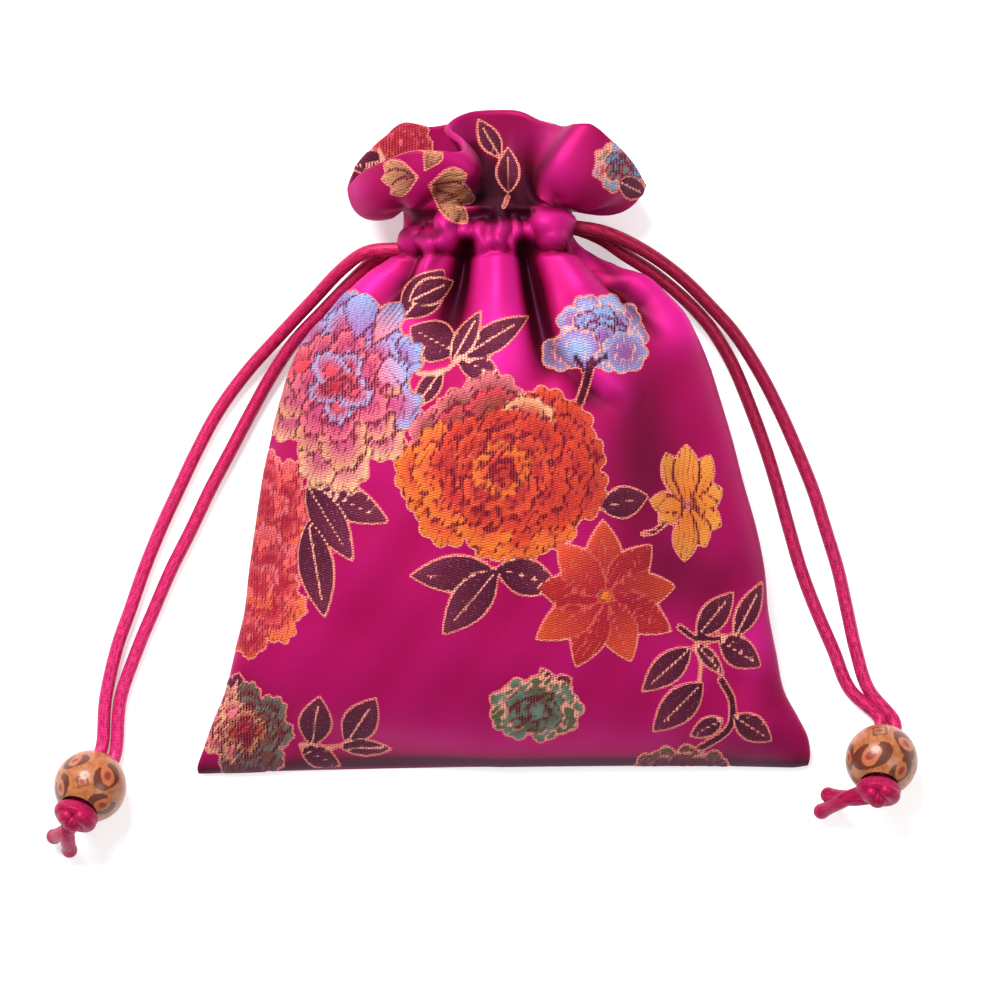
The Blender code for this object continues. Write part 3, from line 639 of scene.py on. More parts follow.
def front_pattern(w):
    # side flower, peonies and their leaves
    broad = ((8, 0.70, 0.40), (6, 0.44, 0.36), (4, 0.20, 0.28), (2, 0.05, 0.18))
    w.peony(-42.4, -11.1, 8.2, 9.4, red_tint, 5, rings=broad, trim=GARNET)
    w.peony(-43.8, -25.5, 7.6, 10, red_tint, 6, turn=0.5, rings=broad, trim=GARNET)
    w.peony(-45.6, -34.6, 4.6, 5, red_tint, 8, turn=0.5, rings=broad[1:], trim=GARNET)
    w.stem(((-31.9, -4.8), (-33.7, -10.2), (-33.4, -21)))
    w.leaves((-34.1, -7.3, -20.1, -14.1, 6.2), (-34.8, -7.3, -26.5, -21, 6),
             (-34.5, -13.8, -31.6, -31, 6.4), (-17.7, 21.9, -10.5, 30.5, 7),
             (-16.5, 24.8, -8.9, 28.7, 4.6), (-8.4, 15.6, -16.5, 20.3, 7.6), (-8.2, 14.9, -0.4, 11.3, 4.8),
             (-7.6, 14.7, 4.4, 22.2, 5), (-9.1, 14, -4, 23.1, 3.8), (-10.7, 12.9, -15.7, 5.9, 3.8))
    w.stem(((-15, 12), (-10.5, 12.5), (-7.5, 14.9)), 0.6)
    w.peony(-28.9, 10, 12.4, 16.6, pink_blue, 11, turn=0.3)
    w.petal(-26.2, 17.7, math.radians(78), 9, 6.4, VIOLET, BLUE, WINE, blunt=1.7, hatch=0.8)
    w.petal(-23.3, 16.8, math.radians(58), 9.4, 5, BLUSH, BLUE, WINE, blunt=1.7, hatch=0.8)
    w.petal(-22.9, 10.7, math.radians(25), 6.6, 5.6, BLUSH, BLUE, WINE, blunt=1.5, hatch=0.8)
    w.peony(-0.3, -4.8, 18.4, 15.4, orange_cream, 23, turn=0.15,
            rings=((13, 0.78, 0.27), (11, 0.62, 0.26), (9, 0.45, 0.24), (7, 0.29, 0.21), (4, 0.14, 0.17),
                   (2, 0.04, 0.12)))
    # leaves under the large peony
    w.leaves((-1.2, -22.8, -16.5, -23.5, 6.6), (-1.2, -22.4, -10.7, -33.9, 6.8),
             (-1.2, -22, 9.8, -25.6, 6.6))
    # blue flower and its stem
    w.bloom(9.6, 15.6, 2.9, 3, VIOLET, BLUE, ROSE_GOLD, lobes=5)
    w.cloud(17.2, 19.4, 8, (BLUE, VIOLET, BLUE), 31, flat=0.76)
    w.bloom(12.9, 16.5, 4, 3.4, BLUE, VIOLET, ROSE_GOLD, lobes=7)
    w.bloom(21.3, 15.8, 4, 3.6, VIOLET, BLUE, ROSE_GOLD, lobes=7)
    w.stem(((13.4, 7.1), (14.5, 10.4), (15.4, 14)), 1.5, PLUM)
    w.stem(((14.9, 11.4), (13.8, 13.2), (12.9, 14.9)), 0.9, PLUM)
    w.stem(((15, 12.2), (16.3, 14), (17.9, 15)), 0.9, PLUM)
    # lotus flower
    w.stem(((28.9, -13.8), (26.7, -15.6), (24.6, -16.1)), 0.9, PLUM)
    w.leaf(17, -11.6, 25.5, -9.4, 5.6)
    for angle, length, width in ((205, 5.6, 3.6), (172, 6.6, 4), (-30, 7.2, 4.6), (25, 7.2, 4.8),
                                 (-65, 8, 4.6), (-92, 9.8, 4.6), (64, 10, 4.6), (112, 10, 4.4),
                                 (90, 10.8, 4.8)):
        w.petal(32.3, -11.2, math.radians(angle), length, width, AMBER, MARIGOLD, WINE, blunt=1.25, hatch=0.9)
    w.bloom(32.5, -10.9, 1.1, 1, CORAL, CREAM, WINE, lobes=5)
    # star flower
    w.star(17.9, -27.1, [(a, l, 6.6, RED, RUST if k % 2 else FLAME) for k, (a, l) in enumerate(
        ((92, 13.5), (48, 12.2), (8, 12.6), (-28, 13.4), (-68, 12.6), (-112, 13.6), (-148, 14.4),
         (172, 12), (132, 12.6)))], AMBER)
    # green flower with its small leaves
    w.leaves((8.7, -44.4, 6.6, -39.7, 3), (8.7, -42.6, 12.3, -41.8, 2.4))
    w.cloud(5.7, -47.4, 8.2, (GREEN, TEAL, GREEN), 37, flat=0.58)
    # left corner
    w.leaf(-48.9, -47.2, -47.4, -41.1, 5)
    w.peony(-46.3, -51.7, 7.4, 8.6, green_tint, 41, rings=((9, 0.70, 0.36), (7, 0.46, 0.32), (4, 0.22, 0.26),
                                                        (2, 0.06, 0.2)))
    w.stem(((-36.6, -54.1), (-32.1, -54.6), (-27.3, -54.1)), 0.6)
    w.leaves((-34.5, -54.3, -32.7, -45.1, 6), (-28.3, -53.9, -22.6, -45.4, 6.2),
             (-29.6, -54.4, -19.9, -55, 3.2), (-36.6, -54.8, -29.4, -58.4, 4.4))
    # right sprig
    w.stem(((33.9, -36.3), (35, -39), (34.8, -42.6)), 0.5)
    w.stem(((38.8, -42.2), (40.8, -46.2), (40.2, -51.2), (35, -55)), 1.3, PLUM)
    w.stem(((31.2, -32.7), (34.7, -34.8), (41.1, -34.5)), 1.1, PLUM)
    w.leaves((33.9, -35.4, 39.2, -41.3, 2.8), (34.3, -34.3, 40.8, -26.5, 5),
             (41.1, -34.6, 46.2, -24.7, 4.2), (38.3, -35, 46, -39.9, 5.4),
             (33.2, -36.3, 24.6, -44.2, 5.4), (35.4, -42.6, 26.7, -51.6, 6.2),
             (41.1, -48.7, 48.2, -53.4, 4.8), (39.3, -49.2, 33.4, -52.5, 3.6))
    # lower edge
    w.cloud(32.3, -59.8, 9, (UMBER, GREEN, UMBER), 43, flat=0.40)
    # ruffle, outer face
    for x, y, angle, length, width in ((-15, 46.7, 158, 6.8, 3), (-15, 46.7, 180, 6.6, 3),
                                       (-15, 46.7, 208, 5.6, 2.8), (-13.9, 47.8, 60, 5, 3.4),
                                       (-13.2, 45.3, 15, 7, 3.6), (-13.2, 45.3, -14, 8.4, 3.6),
                                       (-13.2, 45.3, -44, 9.4, 3.8)):
        w.petal(x, y, math.radians(angle), length, width, UMBER, SAND, WINE, blunt=1.5, hatch=0.9)
    w.leaves((-0.6, 51.4, -4.6, 58.2, 3.8), (0.8, 44.6, 0.8, 53.2, 4.2))
    w.stem(((0.8, 43.8), (0.1, 41.7)), 0.6)
    w.cloud(21.3, 48.9, 5.4, (BLUE, TEAL, CORAL), 47)
    w.leaf(20.3, 46.4, 25.7, 44.6, 4)


def back_pattern(w):
    w.peony(14, -4, 18, 15.6, orange_cream, 53)
    w.leaves((-3, -14, -16, -20, 6.4), (-2, -16, -8, -30, 6.6),
             (2, -18, 12, -27, 6.2))
    w.peony(-24, 8, 12, 14.6, pink_blue, 59)
    w.leaves((-24, -8, -36, -18, 6.2), (-22, -8, -24, -24, 6.4))
    w.star(26, -36, [(a, 12.4, 6.4, RED, ORANGE if k % 2 else AMBER)
                         for k, a in enumerate(range(10, 370, 40))], AMBER)
    w.cloud(-34, -44, 8.4, (GREEN, TEAL, GREEN), 61)
    w.stem(((-6, -46), (0, -43), (8, -46)), 0.6)
    w.leaves((-4, -45, -12, -38, 5.4), (2, -43, 4, -34, 5.4))
    w.cloud(4, 26, 7.6, (BLUE, VIOLET, BLUE), 67)
    w.leaf(20, 18, 30, 24, 5.6)
    w.cloud(0, 50, 6.4, (BLUE, TEAL, CORAL), 71)
    w.leaf(-12, 48, -19, 54, 4.8)


def lining_pattern(w):
    """Right side of the turned-in hem, seen inside the ruffle."""
    w.peony(-18.3, 54.3, 5.4, 5, red_tint, 73, trim=GARNET)
    w.leaves((-20.8, 51.4, -27.6, 49.6, 4.8), (-21.5, 49.2, -25.8, 47.1, 3.4))
    w.cloud(9.5, 56.4, 3, (CREAM, GOLD), 79)
    w.leaf(3, 54.6, -0.6, 57.9, 3.8)
    w.stem(((-22.2, 52.8), (-21.5, 48.2)), 0.5)


def weave_all(grid, zone):
    rows, columns = grid.shape[:2]
    x, y = grid[:, :, 0] + SHIFT[0], grid[:, :, 1] + SHIFT[1]
    front = np.arange(columns) <= FRONT
    motif = np.zeros((rows, columns))
    line = np.zeros((rows, columns))
    thread, trim = np.zeros((rows, columns, 3)), np.zeros((rows, columns, 3))
    inner = zone[:, None] > 0.5
    faces = ((front_pattern, ~inner & front[None, :], 1), (back_pattern, ~inner & ~front[None, :], -1),
             (lining_pattern, inner & np.ones((1, columns), bool), 1))
    for pattern, mask, sign in faces:
        w = Weave(x[mask] * sign, y[mask])
        pattern(w)
        motif[mask], line[mask], thread[mask], trim[mask] = w.motif, w.line, w.thread, w.trim
    return motif, line, thread, trim


# ------------------------------------------------------------------ meshes
def mesh_from(name, points, faces, smooth_shade=True):
    mesh = bpy.data.meshes.new(name)
    mesh.from_pydata([tuple(p) for p in points], [], faces)
    mesh.update()
    if smooth_shade:
        mesh.shade_smooth()
    obj = bpy.data.objects.new(name, mesh)
    bpy.context.scene.collection.objects.link(obj)
    return obj


def put_attribute(mesh, name, kind, values):
    layer = mesh.attributes.new(name, kind, "POINT")
    key = {"FLOAT": "value", "FLOAT_COLOR": "color", "FLOAT_VECTOR": "vector"}[kind]
    layer.data.foreach_set(key, np.ascontiguousarray(values, dtype=np.float32).ravel())


def make_cloth():
    grid, zone = cloth_grid()
    motif, line, thread, trim = weave_all(grid, zone)
    relief = 0.16 * smooth(motif, -0.15, 0.35) - 0.08 * (motif > 0) * (1 - smooth(line, 0.1, 0.5))
    outer = zone < 0.5
    normal = grid_normals(grid)
    normal[~outer] = grid_normals(grid[~outer])
    rise = np.where((grid[:, :, 2] > 0.3), relief, 0.0)
    shaped = grid + normal * rise[:, :, None] + SHIFT
    shaped[:, :, 2] = np.maximum(shaped[:, :, 2], 0.0)
    rows, columns = grid.shape[:2]
    index = np.arange(rows * columns).reshape(rows, columns)
    a, b = index[:-1], index[1:]
    quads = np.stack((a, np.roll(a, -1, axis=1), np.roll(b, -1, axis=1), b), axis=-1).reshape(-1, 4)
    faces = quads.tolist()
    for row, flip in ((index[0], True), (index[-1], False)):
        front, back = row[:FRONT + 1], np.append(row[:1], row[FRONT:][::-1])
        pairs = np.round(np.linspace(0, BACK, FRONT + 1)).astype(int)
        for i in range(FRONT):
            face = [front[i], front[i + 1], back[pairs[i + 1]], back[pairs[i]]]
            face = [int(v) for k, v in enumerate(face) if v not in face[:k]]
            if len(face) > 2:
                faces.append(face[::-1] if flip else face)
    obj = mesh_from("brocade_pouch", shaped.reshape(-1, 3) * MM, faces)
    mesh = obj.data
    put_attribute(mesh, "motif", "FLOAT", motif)
    put_attribute(mesh, "petal_line", "FLOAT", line)
    put_attribute(mesh, "thread", "FLOAT_COLOR", np.concatenate((thread, np.ones((rows, columns, 1))), 2))
    put_attribute(mesh, "trim", "FLOAT_COLOR", np.concatenate((trim, np.ones((rows, columns, 1))), 2))
    # Painted shade and painted highlight, kept as attributes for the satin's colour.
    painted_shade, painted_highlight = painted_light_fields(grid, zone)
    put_attribute(mesh, "painted_shade", "FLOAT", painted_shade)
    put_attribute(mesh, "painted_highlight", "FLOAT", painted_highlight)
    put_attribute(mesh, "cloth_mm", "FLOAT_VECTOR", grid)
    uv = mesh.uv_layers.new(name="OFBake")
    loops = np.zeros(len(mesh.loops), dtype=np.int64)
    mesh.loops.foreach_get("vertex_index", loops)
    r, c = loops // columns, loops % columns
    u = c / columns
    starts = np.zeros(len(mesh.polygons), dtype=np.int64)
    totals = np.zeros(len(mesh.polygons), dtype=np.int64)
    mesh.polygons.foreach_get("loop_start", starts)
    mesh.polygons.foreach_get("loop_total", totals)
    owner = np.repeat(np.arange(len(starts)), totals)
    highest = np.maximum.reduceat(c, starts)
    wraps = (highest[owner] == columns - 1) & (c == 0) & (owner < (rows - 1) * columns)
    u = np.where(wraps, 1.0, u)
    v = 0.02 + 0.96 * r / (rows - 1)
    cap = owner >= (rows - 1) * columns
    low, high = np.where(c <= FRONT, 0.004, 0.014), np.where(c <= FRONT, 0.988, 0.996)
    v = np.where(cap, np.where(r == 0, low, high), v)
    u = np.where(cap & (c > FRONT), (1 - (c - FRONT) / BACK) * FRONT / columns, u)
    uv.data.foreach_set("uv", np.stack((u * 0.998 + 0.001, v), 1).astype(np.float32).ravel())
    return obj


# Pitch of the weave's ribs, of its warp and of the bond between them (mm).
RIB, WARP, BOND = 0.46, 0.52, 1.7
# Satin colours: the third is a painted highlight for the ridges, and the next row holds painted shade for the
# folds, the deepest hollows and the woven threads.
SATIN, SATIN_LIGHT, PAINTED_CREST_HIGHLIGHT = (0.29, 0.0022, 0.060), (0.35, 0.003, 0.080), (0.56, 0.012, 0.22)
PAINTED_FOLD_SHADE, PAINTED_DEEP_SHADE, PAINTED_THREAD_SHADE = (0.068, 0.001, 0.009), (0.016, 0.0004, 0.003), (0.05, 0.004, 0.01)
GAP = (0.13, 0.006, 0.025)
GLINT, DULL, OUTLINE = (0.80, 0.50, 0.36), (0.22, 0.01, 0.05), srgb(226, 132, 112)


def cloth_material():
    n = Nodes("satin_brocade")
    motif, line, painted_shade, painted_highlight = (n.attribute(k) for k in ("motif", "petal_line", "painted_shade", "painted_highlight"))
    thread, trim = n.attribute("thread", "Color"), n.attribute("trim", "Color")
    x, y, _ = n.split(n.attribute("cloth_mm", "Vector"))
    wobble = n.noise((x * 1.6, y * 0.6))
    bond = n.math("SINE", x * (math.tau / BOND) + wobble * 5.0)
    phase = y * (math.tau / RIB) + wobble * 3.0 + bond.ramp(-0.25, 0.25) * 2.8
    rib, warp = phase.wave(math.tau), x.wave(WARP)
    speck = n.noise((x * 2.4, y * 2.4), 3.0, 0.7)
    inside = (motif + (rib * 0.12 + -0.06)).ramp(-0.04, 0.06)
    outline = abs(motif).ramp(0.24, 0.13) * (rib + warp * 0.5).ramp(0.25, 0.7)
    vein = line.ramp(0.26, 0.12) * inside * (rib + warp).ramp(0.3, 0.9)
    body = n.mix(rib.ramp(0.55, 0.0) * 0.5, thread, GAP)
    body = n.mix(speck.ramp(0.58, 0.72) * 0.40, body, n.mix(0.65, body, GLINT))
    body = n.mix(speck.ramp(0.42, 0.28) * 0.35, body, DULL)
    body = n.mix(vein, body, trim)
    # Painted shade darkens the woven threads too.
    body = n.mix(painted_shade * 0.46, body, PAINTED_THREAD_SHADE)
    ground = n.mix(n.noise((x * 0.5, y * 5.0)).ramp(0.35, 0.7) * 0.35, SATIN, SATIN_LIGHT)
    # Painted highlight on the ridges, then painted shade in the folds and a darker painted shade where the
    # shade is deepest.
    ground = n.mix(painted_highlight * 0.85, ground, PAINTED_CREST_HIGHLIGHT)
    ground = n.mix(painted_shade * 0.94, ground, PAINTED_FOLD_SHADE)
    ground = n.mix(painted_shade.ramp(0.95, 1.7) * 0.85, ground, PAINTED_DEEP_SHADE)
    colour = n.mix(outline * 0.85, n.mix(inside, ground, body), OUTLINE)
    n.set(Base_Color=colour, Metallic=0.32, Roughness=inside * 0.04 + 0.52, Specular_IOR_Level=0.22,
          Specular_Tint=(1.0, 0.35, 0.85, 1.0), Sheen_Weight=0.0)
    raised = n.math("MAXIMUM", inside, outline) * (rib * 0.6 + 0.4)
    n.bump(raised + vein * -0.5 + n.noise((x * 9.0, y * 2.0)) * 0.10, 0.00012, 0.8)
    return n.material


# ------------------------------------------------------------------ cords, knots and beads
CORD_DIA = 2.4
EXITS = {"left_outer": (-18.6, 34.9, 12.1), "left_inner": (-18.6, 34.9, 7.9),
         "right_outer": (12.8, 38.8, 12.1), "right_inner": (12.8, 38.8, 7.9)}
STRANDS = {
    "left_outer": (
        (-72.2, -46, 1.35), (-70.2, -36.9, 1.35), (-67.7, -29.7, 1.35),
        (-65.2, -22.5, 1.35), (-62.3, -15.3, 1.35), (-59, -8.1, 1.35), (-55.6, -0.9, 1.35),
        (-51.7, 6.3, 1.3), (-46.4, 13.5, 1.8), (-40.3, 20.1, 3.2), (-34.2, 26.4, 5.4),
        (-29.2, 31.4, 8.2), (-24.6, 34.4, 10.8)),
    "left_inner": (
        (-69.5, -46, 1.35), (-66.4, -36.9, 1.35), (-63.4, -29.7, 1.35),
        (-60.3, -22.5, 1.35), (-56.7, -15.3, 1.35), (-53.3, -8.1, 1.35), (-49.5, -0.9, 1.35),
        (-45.7, 6.3, 1.3), (-41.9, 13, 1.7), (-37.8, 18.9, 2.6), (-32.6, 24.3, 4.2),
        (-27.9, 29, 6.2), (-23.6, 32.8, 7.6)),
    "right_outer": (
        (66, -44.1, 1.35), (63.7, -36.9, 1.35), (62.1, -29.7, 1.35),
        (60.5, -22.5, 1.35), (58.3, -15.3, 1.35), (56, -8.1, 1.35), (53.1, -0.9, 1.35),
        (49.9, 6.3, 1.4), (46.1, 13.5, 2.2), (41.8, 20, 3.8), (37.3, 24.9, 5.6),
        (32.4, 29.6, 7.6), (27.4, 33.3, 9.6), (22.2, 36.2, 11.2), (17.6, 38, 12)),
    "right_inner": (
        (62.6, -44.1, 1.35), (59.6, -36.9, 1.35), (56.5, -29.7, 1.35),
        (53.8, -22.5, 1.35), (51.7, -15.3, 1.35), (49.7, -8.1, 1.35), (47.5, -0.9, 1.35),
        (44.9, 6.3, 1.4), (41.6, 14.2, 2), (38, 20.3, 3.2), (34.7, 24.2, 4.4),
        (30.8, 27.8, 5.8), (26.4, 31.2, 7), (21.6, 34.2, 7.8), (17.4, 37, 8)),
}
SIDES = {"left": ((-74.4, -61.4, 6.55), (-0.40, -0.92), ((-81.3, -70.7, 3.2), (-78.6, -73.2, 2.6)), -1),
         "right": ((67.9, -56.7, 6.55), (-0.20, -0.98), ((58.6, -63.2, 3.4), (57.4, -66.2, 2.8)), 1)}
TILT = math.radians(42.0)
KNOT_OFFSET, KNOT_DIA, STRAND_GAP = 7.9, 6.6, 1.35


def bore_axes(side):
    """Level directions along and across a bead's heading, and the axis of its tilted bore."""
    heading = SIDES[side][1]
    flat = np.array((*heading, 0.0)) / math.hypot(*heading)
    across = np.array((-flat[1], flat[0], 0.0))
    return flat, across, flat * math.cos(TILT) + np.array((0, 0, math.sin(TILT)))


def bore_route(side, sign):
    """One strand from inside its knot down through the bead to the surface."""
    centre = np.array(SIDES[side][0])
    flat, across, axis = bore_axes(side)
    across = across * STRAND_GAP * sign
    clear = np.array((centre[0], centre[1], 1.4)) - flat * 7.2 + across
    return [centre + axis * (KNOT_OFFSET - KNOT_DIA / 2 + 1.2) + across * 0.8, centre + axis * 0.6 + across,
            centre - axis * 2.4 + across, centre - axis * 5.0 + across - np.array((0, 0, 0.1)), clear]


def frames_along(path):
    tangent = np.gradient(path, axis=0)
    tangent /= np.linalg.norm(tangent, axis=1, keepdims=True)
    side = np.zeros_like(path)
    start = np.cross(tangent[0], (0, 0, 1.0))
    if np.linalg.norm(start) < 0.1:
        start = np.cross(tangent[0], (1.0, 0, 0))
    side[0] = start / np.linalg.norm(start)
    for i in range(1, len(path)):
        step = side[i - 1] - tangent[i] * np.dot(side[i - 1], tangent[i])
        side[i] = step / np.linalg.norm(step)
    return tangent, side, np.cross(tangent, side)


def tube_data(path, radius, sides, first=0, flare=None):
    """Rings of points round a path, closed by a rounded end at each side."""
    tangent, side, other = frames_along(path)
    run = np.concatenate(([0], np.cumsum(np.linalg.norm(np.diff(path, axis=0), axis=1))))
    radii = np.full(len(path), radius) if flare is None else radius * flare(run / run[-1])
    cap = [(k, math.sqrt(1 - k * k)) for k in (0.38, 0.7, 0.92)]
    rings = [(path[0] - tangent[0] * radii[0] * k, radii[0] * part, 0) for k, part in reversed(cap)]
    rings += [(p, r, i) for i, (p, r) in enumerate(zip(path, radii))]
    rings += [(path[-1] + tangent[-1] * radii[-1] * k, radii[-1] * part, len(path) - 1) for k, part in cap]
    angle = 2 * np.pi * np.arange(sides) / sides
    points, surface = [], []
    for centre, r, i in rings:
        points.append(centre + r * (np.cos(angle)[:, None] * side[i] + np.sin(angle)[:, None] * other[i]))
        surface.append(np.stack((angle * radius, np.full(sides, run[i]), np.zeros(sides)), 1))
    points, surface = np.concatenate(points), np.concatenate(surface)
    faces = []
    for r in range(len(rings) - 1):
        for k in range(sides):
            j = (k + 1) % sides
            faces.append([first + r * sides + k, first + r * sides + j,
                          first + (r + 1) * sides + j, first + (r + 1) * sides + k])
    last = first + (len(rings) - 1) * sides
    faces.append([first + k for k in reversed(range(sides))])
    faces.append([last + k for k in range(sides)])
    return points, surface, faces


def tube_object(name, tubes):
    """One object from several tubes, each (path, radius, sides, flare)."""
    points, surface, faces = [], [], []
    first = 0
    for path, radius, sides, flare in tubes:
        p, s, f = tube_data(path, radius, sides, first, flare)
        points.append(p)
        surface.append(s)
        faces += f
        first += len(p)
    points, surface = np.concatenate(points) + SHIFT, np.concatenate(surface)
    points[:, 2] = np.maximum(points[:, 2], 0.02)
    obj = mesh_from(name, points * MM, faces)
    put_attribute(obj.data, "cord_mm", "FLOAT_VECTOR", surface)
    return obj


def cord_material(name, bright, dark, painted_lit_end=None):
    """Braided satin; far is the bright colour at the end by the bead, a painted light that makes the cord
    lighter towards its bead.
    """
    n = Nodes(name)
    around, along, _ = n.split(n.attribute("cord_mm", "Vector"))
    lean = [n.math("SINE", around * (math.tau / 0.943) + along * slope) for slope in (5.2, -5.2)]
    strand = lean[0] * lean[1] * 0.5 + 0.5
    tone = strand * 0.12 + n.noise((around * 3.0, along * 0.7), 3.0) * 0.88
    if painted_lit_end:
        bright = n.mix(along.ramp(35.0, 118.0), bright, painted_lit_end)
    n.set(Base_Color=n.mix(tone.ramp(0.2, 0.75), dark, bright), Roughness=0.42, Metallic=0.25,
          Specular_IOR_Level=0.15, Sheen_Weight=0.08, Sheen_Roughness=0.35, Sheen_Tint=(1.0, 0.3, 0.6, 1.0))
    n.bump(strand + along.wave(0.55) * 0.3, 0.00004, 0.6)
    return n.material


def make_strand(name, material):
    side = name.split("_")[0]
    sign = SIDES[side][3] * (1 if name.endswith("outer") else -1)
    route = np.array([tuple(p) for p in bore_route(side, sign)] + list(STRANDS[name]) + [EXITS[name]])
    inward = 3.0 if side == "left" else -3.0
    route = np.vstack((route, np.array(EXITS[name]) + (inward, 0.0, 0.0)))[::-1]
    path = even(route, 210)
    obj = tube_object(name + "_strand", [(path, CORD_DIA / 2, 20, None)])
    obj.data.materials.append(material)
    length = float(np.linalg.norm(np.diff(path, axis=0), axis=1).sum()) * MM
    return obj, path, length


def make_knot(side, material):
    """Two loops round a core, with the cord's two ends as tails."""
    centre, tails = np.array(SIDES[side][0]), SIDES[side][2]
    _, across, axis = bore_axes(side)
    middle = centre + axis * (KNOT_OFFSET - 0.7)
    third = np.cross(axis, across)
    turn = np.linspace(0, math.tau * 1.18, 60)
    loop = (middle + np.outer(np.cos(turn) * 2.6, across) + np.outer(np.sin(turn) * 2.2, third)
            + np.outer(np.sin(turn * 0.85 + 0.4) * 0.55 + (turn / 7 - 0.5) * 1.6, axis))
    second = (middle + np.outer(np.cos(turn + 2.4) * 1.75, across) + np.outer(np.sin(turn + 2.4) * 1.7, third)
              + np.outer(np.cos(turn * 0.9) * 0.9 - (turn / 7 - 0.5) * 1.2, axis))
    core = even(np.array([middle - axis * 2.0, middle, middle + axis * 1.4]), 12)
    tubes = [(loop, 1.45, 18, None), (second, 1.3, 18, None), (core, 1.9, 18, None)]
    for end, hand in zip(tails, (1.15, -1.15)):
        tip = np.array(end)
        out = tip - middle
        sideways = np.array((-out[1], out[0], 0.0)) / math.hypot(out[0], out[1]) * hand
        bend = middle + out * 0.5 + np.array((0, 0, 1.5)) + sideways * 0.75
        path = even(np.array([middle + sideways * 0.7, bend, tip]), 26)
        tubes.append((path, CORD_DIA * 0.56, 18, tail_flare))
    obj = tube_object(side + "_knot_ends", tubes)
    obj.data.materials.append(material)
    return obj


def tail_flare(t):
    """A tail's thickness along it: slightly uneven, frayed wider at its end."""
    return 1.0 - 0.04 * np.sin(t * 9) + 0.10 * np.clip((t - 0.88) / 0.12, 0, 1)


def bead_outline():
    radius, bore, half = 6.5, 3.3, 5.6
    top = math.acos((half - 0.12) / radius)
    outer = [(radius * math.sin(a), radius * math.cos(a)) for a in np.linspace(top, math.pi - top, 72)]
    lip = [(bore + 0.02, half - 0.55), (bore + 0.12, half - 0.22), (bore + 0.35, half - 0.03),
           (bore + 0.62, half + 0.0)]
    lip = [(min(r, outer[0][0] - 0.02), z) for r, z in lip]
    wall = [(bore, z) for z in np.linspace(-half + 0.9, half - 0.9, 8)]
    return wall + lip + outer + [(r, -z) for r, z in reversed(lip)]


# Painted marks: direction from the ball's centre (x, y, z), size in degrees, squash, turn, kind.
MARKS = {
    "left": ((-0.36, 0.76, 0.54, 21, 0.72, 12, "ring"), (0.56, 0.34, 0.75, 25, 0.80, 60, "ring"),
             (-0.12, 0.22, 0.97, 10, 0.9, 15, "dot"), (-0.76, 0.02, 0.65, 22, 0.75, 70, "ring"),
             (0.42, -0.46, 0.78, 24, 0.75, -30, "ring"), (0.15, 0.95, -0.25, 24, 0.7, 0, "ring"),
             (-0.6, 0.5, -0.6, 24, 0.8, 30, "ring"), (0.9, -0.1, -0.4, 23, 0.7, 80, "ring"),
             (0.1, 0.1, -1.0, 22, 0.8, 10, "ring"), (0.7, 0.7, 0.0, 10, 0.9, 0, "dot"),
             (-0.3, -0.5, -0.8, 20, 0.8, 40, "ring")),
    "right": ((-0.38, 0.20, 0.90, 33, 0.66, 25, "ring"), (0.62, 0.50, 0.60, 24, 0.80, -40, "ring"),
              (0.46, -0.24, 0.85, 25, 0.70, 50, "ring"), (-0.10, 0.86, 0.50, 13, 0.9, 0, "dot"),
              (-0.92, 0.10, 0.30, 20, 0.7, 85, "ring"), (0.90, -0.40, 0.10, 21, 0.7, 70, "ring"),
              (0.2, 0.9, -0.4, 24, 0.7, 0, "ring"), (-0.5, 0.3, -0.8, 24, 0.8, 30, "ring"),
              (0.6, 0.2, -0.8, 22, 0.7, 10, "ring"), (0.0, -0.5, -0.85, 20, 0.8, 20, "ring")),
}


def mark_fields(side, direction, own):
    """Distances from the painted marks, in each direction from the ball's centre."""
    brown, oval, spot_mark = np.full((3, len(direction)), 9.0)
    for mx, my, mz, size, squash, turn, kind in MARKS[side]:
        spin = math.radians(turn)
        pole = np.array((mx, my, mz)) / math.hypot(mx, my, mz)
        north = np.cross(pole, (1.0, 0.0, 0.0))
        north /= np.linalg.norm(north)
        pole, east, north = own @ pole, own @ np.cross(north, pole), own @ north
        u, v, facing = direction @ east, direction @ north, direction @ pole > 0
        a, b = u * math.cos(spin) + v * math.sin(spin), -u * math.sin(spin) + v * math.cos(spin)
        radius = math.sin(math.radians(size))
        if kind == "ring":
            away, round_it = np.where(facing, np.hypot(a, b / squash), 9), np.arctan2(b, a)
            ring = np.abs(away - radius * 0.84) - radius * 0.21 * (1 + 0.5 * np.cos(round_it * 2 + 1))
            brown = np.minimum(brown, np.where(np.abs(round_it - 0.9) < 0.35, 9, ring))
            oval = np.minimum(oval, away - radius * 0.74)
            spot_mark = np.minimum(spot_mark, away - radius * 0.32)
        else:
            box = np.maximum(np.abs(a), np.abs(b))
            brown = np.minimum(brown, np.where(facing, np.abs(box - radius * 0.8) - radius * 0.12, 9))
            spot_mark = np.minimum(spot_mark, np.where(facing, np.hypot(a, b) - radius * 0.42, 9))
    return {"brown": brown, "oval": oval, "spot": spot_mark}


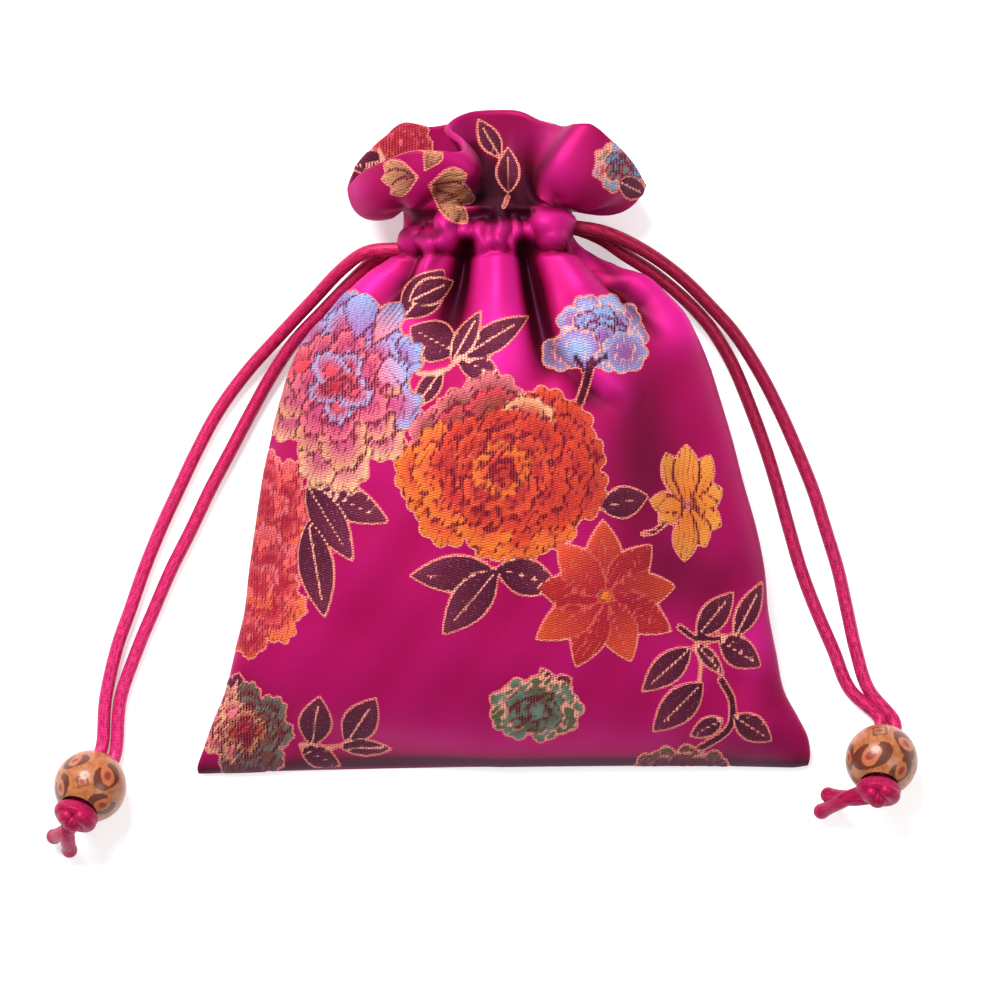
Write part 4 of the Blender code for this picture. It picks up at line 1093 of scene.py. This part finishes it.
def make_bead(side, material):
    """A ball turned from the profile, which closes on itself through the bore."""
    axis = -bore_axes(side)[2]
    across = np.cross((0, 0, 1.0), axis)
    across /= np.linalg.norm(across)
    toward = np.cross(across, axis)
    outline, turns = bead_outline(), 112
    angle = math.tau * np.arange(turns) / turns
    points, direction = [], []
    for r, z in outline:
        local = np.stack((r * np.cos(angle), r * np.sin(angle), np.full(turns, z)), 1)
        points.append(local[:, :1] * toward + local[:, 1:2] * across + local[:, 2:] * axis)
        direction.append(local / np.linalg.norm(local, axis=1, keepdims=True))
    points, direction = np.concatenate(points), np.concatenate(direction)
    index = np.arange(len(points)).reshape(-1, turns)
    after = np.roll(index, -1, axis=0)
    faces = np.stack((index, after, np.roll(after, -1, axis=1), np.roll(index, -1, axis=1)), 2).reshape(-1, 4)
    place = points + np.array(SIDES[side][0]) + SHIFT
    obj = mesh_from(side + "_painted_bead", place * MM, faces.tolist())
    fields = mark_fields(side, direction, np.stack((toward, across, axis)))
    fields["hole"] = 1.0 - np.clip((np.hypot(direction[:, 0], direction[:, 1]) - 0.50) / 0.06, 0, 1)
    for name, values in fields.items():
        put_attribute(obj.data, name, "FLOAT", values)
    put_attribute(obj.data, "bead_mm", "FLOAT_VECTOR", points)
    obj.data.materials.append(material)
    bore_normals(obj)
    return obj


def bore_normals(obj):
    bm = bmesh.new()
    bm.from_mesh(obj.data)
    bmesh.ops.recalc_face_normals(bm, faces=bm.faces)
    bm.to_mesh(obj.data)
    bm.free()


def bead_material(name):
    n = Nodes(name)
    place = n.attribute("bead_mm", "Vector")
    x, y, z = n.split(place)
    grain = n.noise((x * 0.9, y * 0.9, z * 0.16), 4.0, 0.6)
    ragged = n.noise(place, 3.0, 0.6, scale=1.1) * 0.10 + -0.05
    colour = n.mix(grain.ramp(0.3, 0.7), srgb(134, 74, 38), srgb(168, 102, 58))
    for mark, low, high, share, paint in (("oval", 0.02, -0.03, 0.55, (170, 92, 58)),
                                          ("spot", 0.03, -0.04, 0.85, (120, 26, 22)),
                                          ("brown", 0.02, -0.02, 0.92, (78, 26, 15))):
        colour = n.mix((n.attribute(mark) + ragged).ramp(low, high) * share, colour, srgb(*paint))
    colour = n.mix(n.attribute("hole") * 0.75, colour, srgb(120, 48, 26))
    n.set(Base_Color=colour, Roughness=0.36, Specular_IOR_Level=0.35, Coat_Weight=0.2, Coat_Roughness=0.08)
    n.bump(grain + n.attribute("brown").ramp(0.0, -0.02) * 0.6, 0.00004, 0.6)
    return n.material


def make_floor():
    n = Nodes("pale_floor")
    n.set(Base_Color=(0.8, 0.8, 0.8, 1.0), Roughness=0.9, Specular_IOR_Level=0.0,
          Emission_Color=(1.0, 1.0, 1.0, 1.0), Emission_Strength=0.42)
    floor = mesh_from("floor", [(-3, -3, 0), (3, -3, 0), (3, 3, 0), (-3, 3, 0)], [[0, 1, 2, 3]], False)
    floor.data.materials.append(n.material)


def dress(obj, body, node):
    """The piece rides a body and takes a node's place."""
    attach(obj, body)
    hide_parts(node)


def main():
    make_camera()
    bpy.context.scene.view_settings.view_transform = "Standard"
    make_world(0.42)
    make_light("key", (-0.26, 0.46, 0.60), (0, 0, 0), 0.42, 11.0, (1.0, 0.97, 1.0))
    make_light("fill", (0.50, -0.10, 0.80), (0, 0, 0), 0.5, 3.0, (1.0, 0.98, 0.97))
    make_floor()
    # Both cords are one satin: the right one's colours are a darker copy, painted shade, and the third colour
    # of each is painted light towards its bead.
    satin = {"left": cord_material("left_rattail", srgb(190, 34, 88), srgb(126, 12, 48), srgb(222, 50, 120)),
             "right": cord_material("right_rattail", srgb(148, 22, 58), srgb(92, 10, 34), srgb(216, 44, 110))}
    beads, knots = {}, {}
    for side in SIDES:
        beads[side] = make_bead(side, bead_material(side + "_painted_wood"))
        dress(beads[side], side + "_bead_body", side + "_bead")
        # The knots take darker colours than the cord they are tied in: painted shade.
        knot_satin = cord_material(side + "_knot_satin_look", srgb(178, 18, 80), srgb(102, 6, 36))
        knots[side] = make_knot(side, knot_satin)
        dress(knots[side], "pouch", side + "_knot")
    for name in STRANDS:
        side = name.split("_")[0]
        strand, path, length = make_strand(name, satin[side])
        dress(strand, "pouch", side + "_cord")
        [tuple((p + SHIFT) * MM) for p in path]
    cloth = make_cloth()
    cloth.data.materials.append(cloth_material())
    dress(cloth, "pouch", "pouch_cloth")


main()
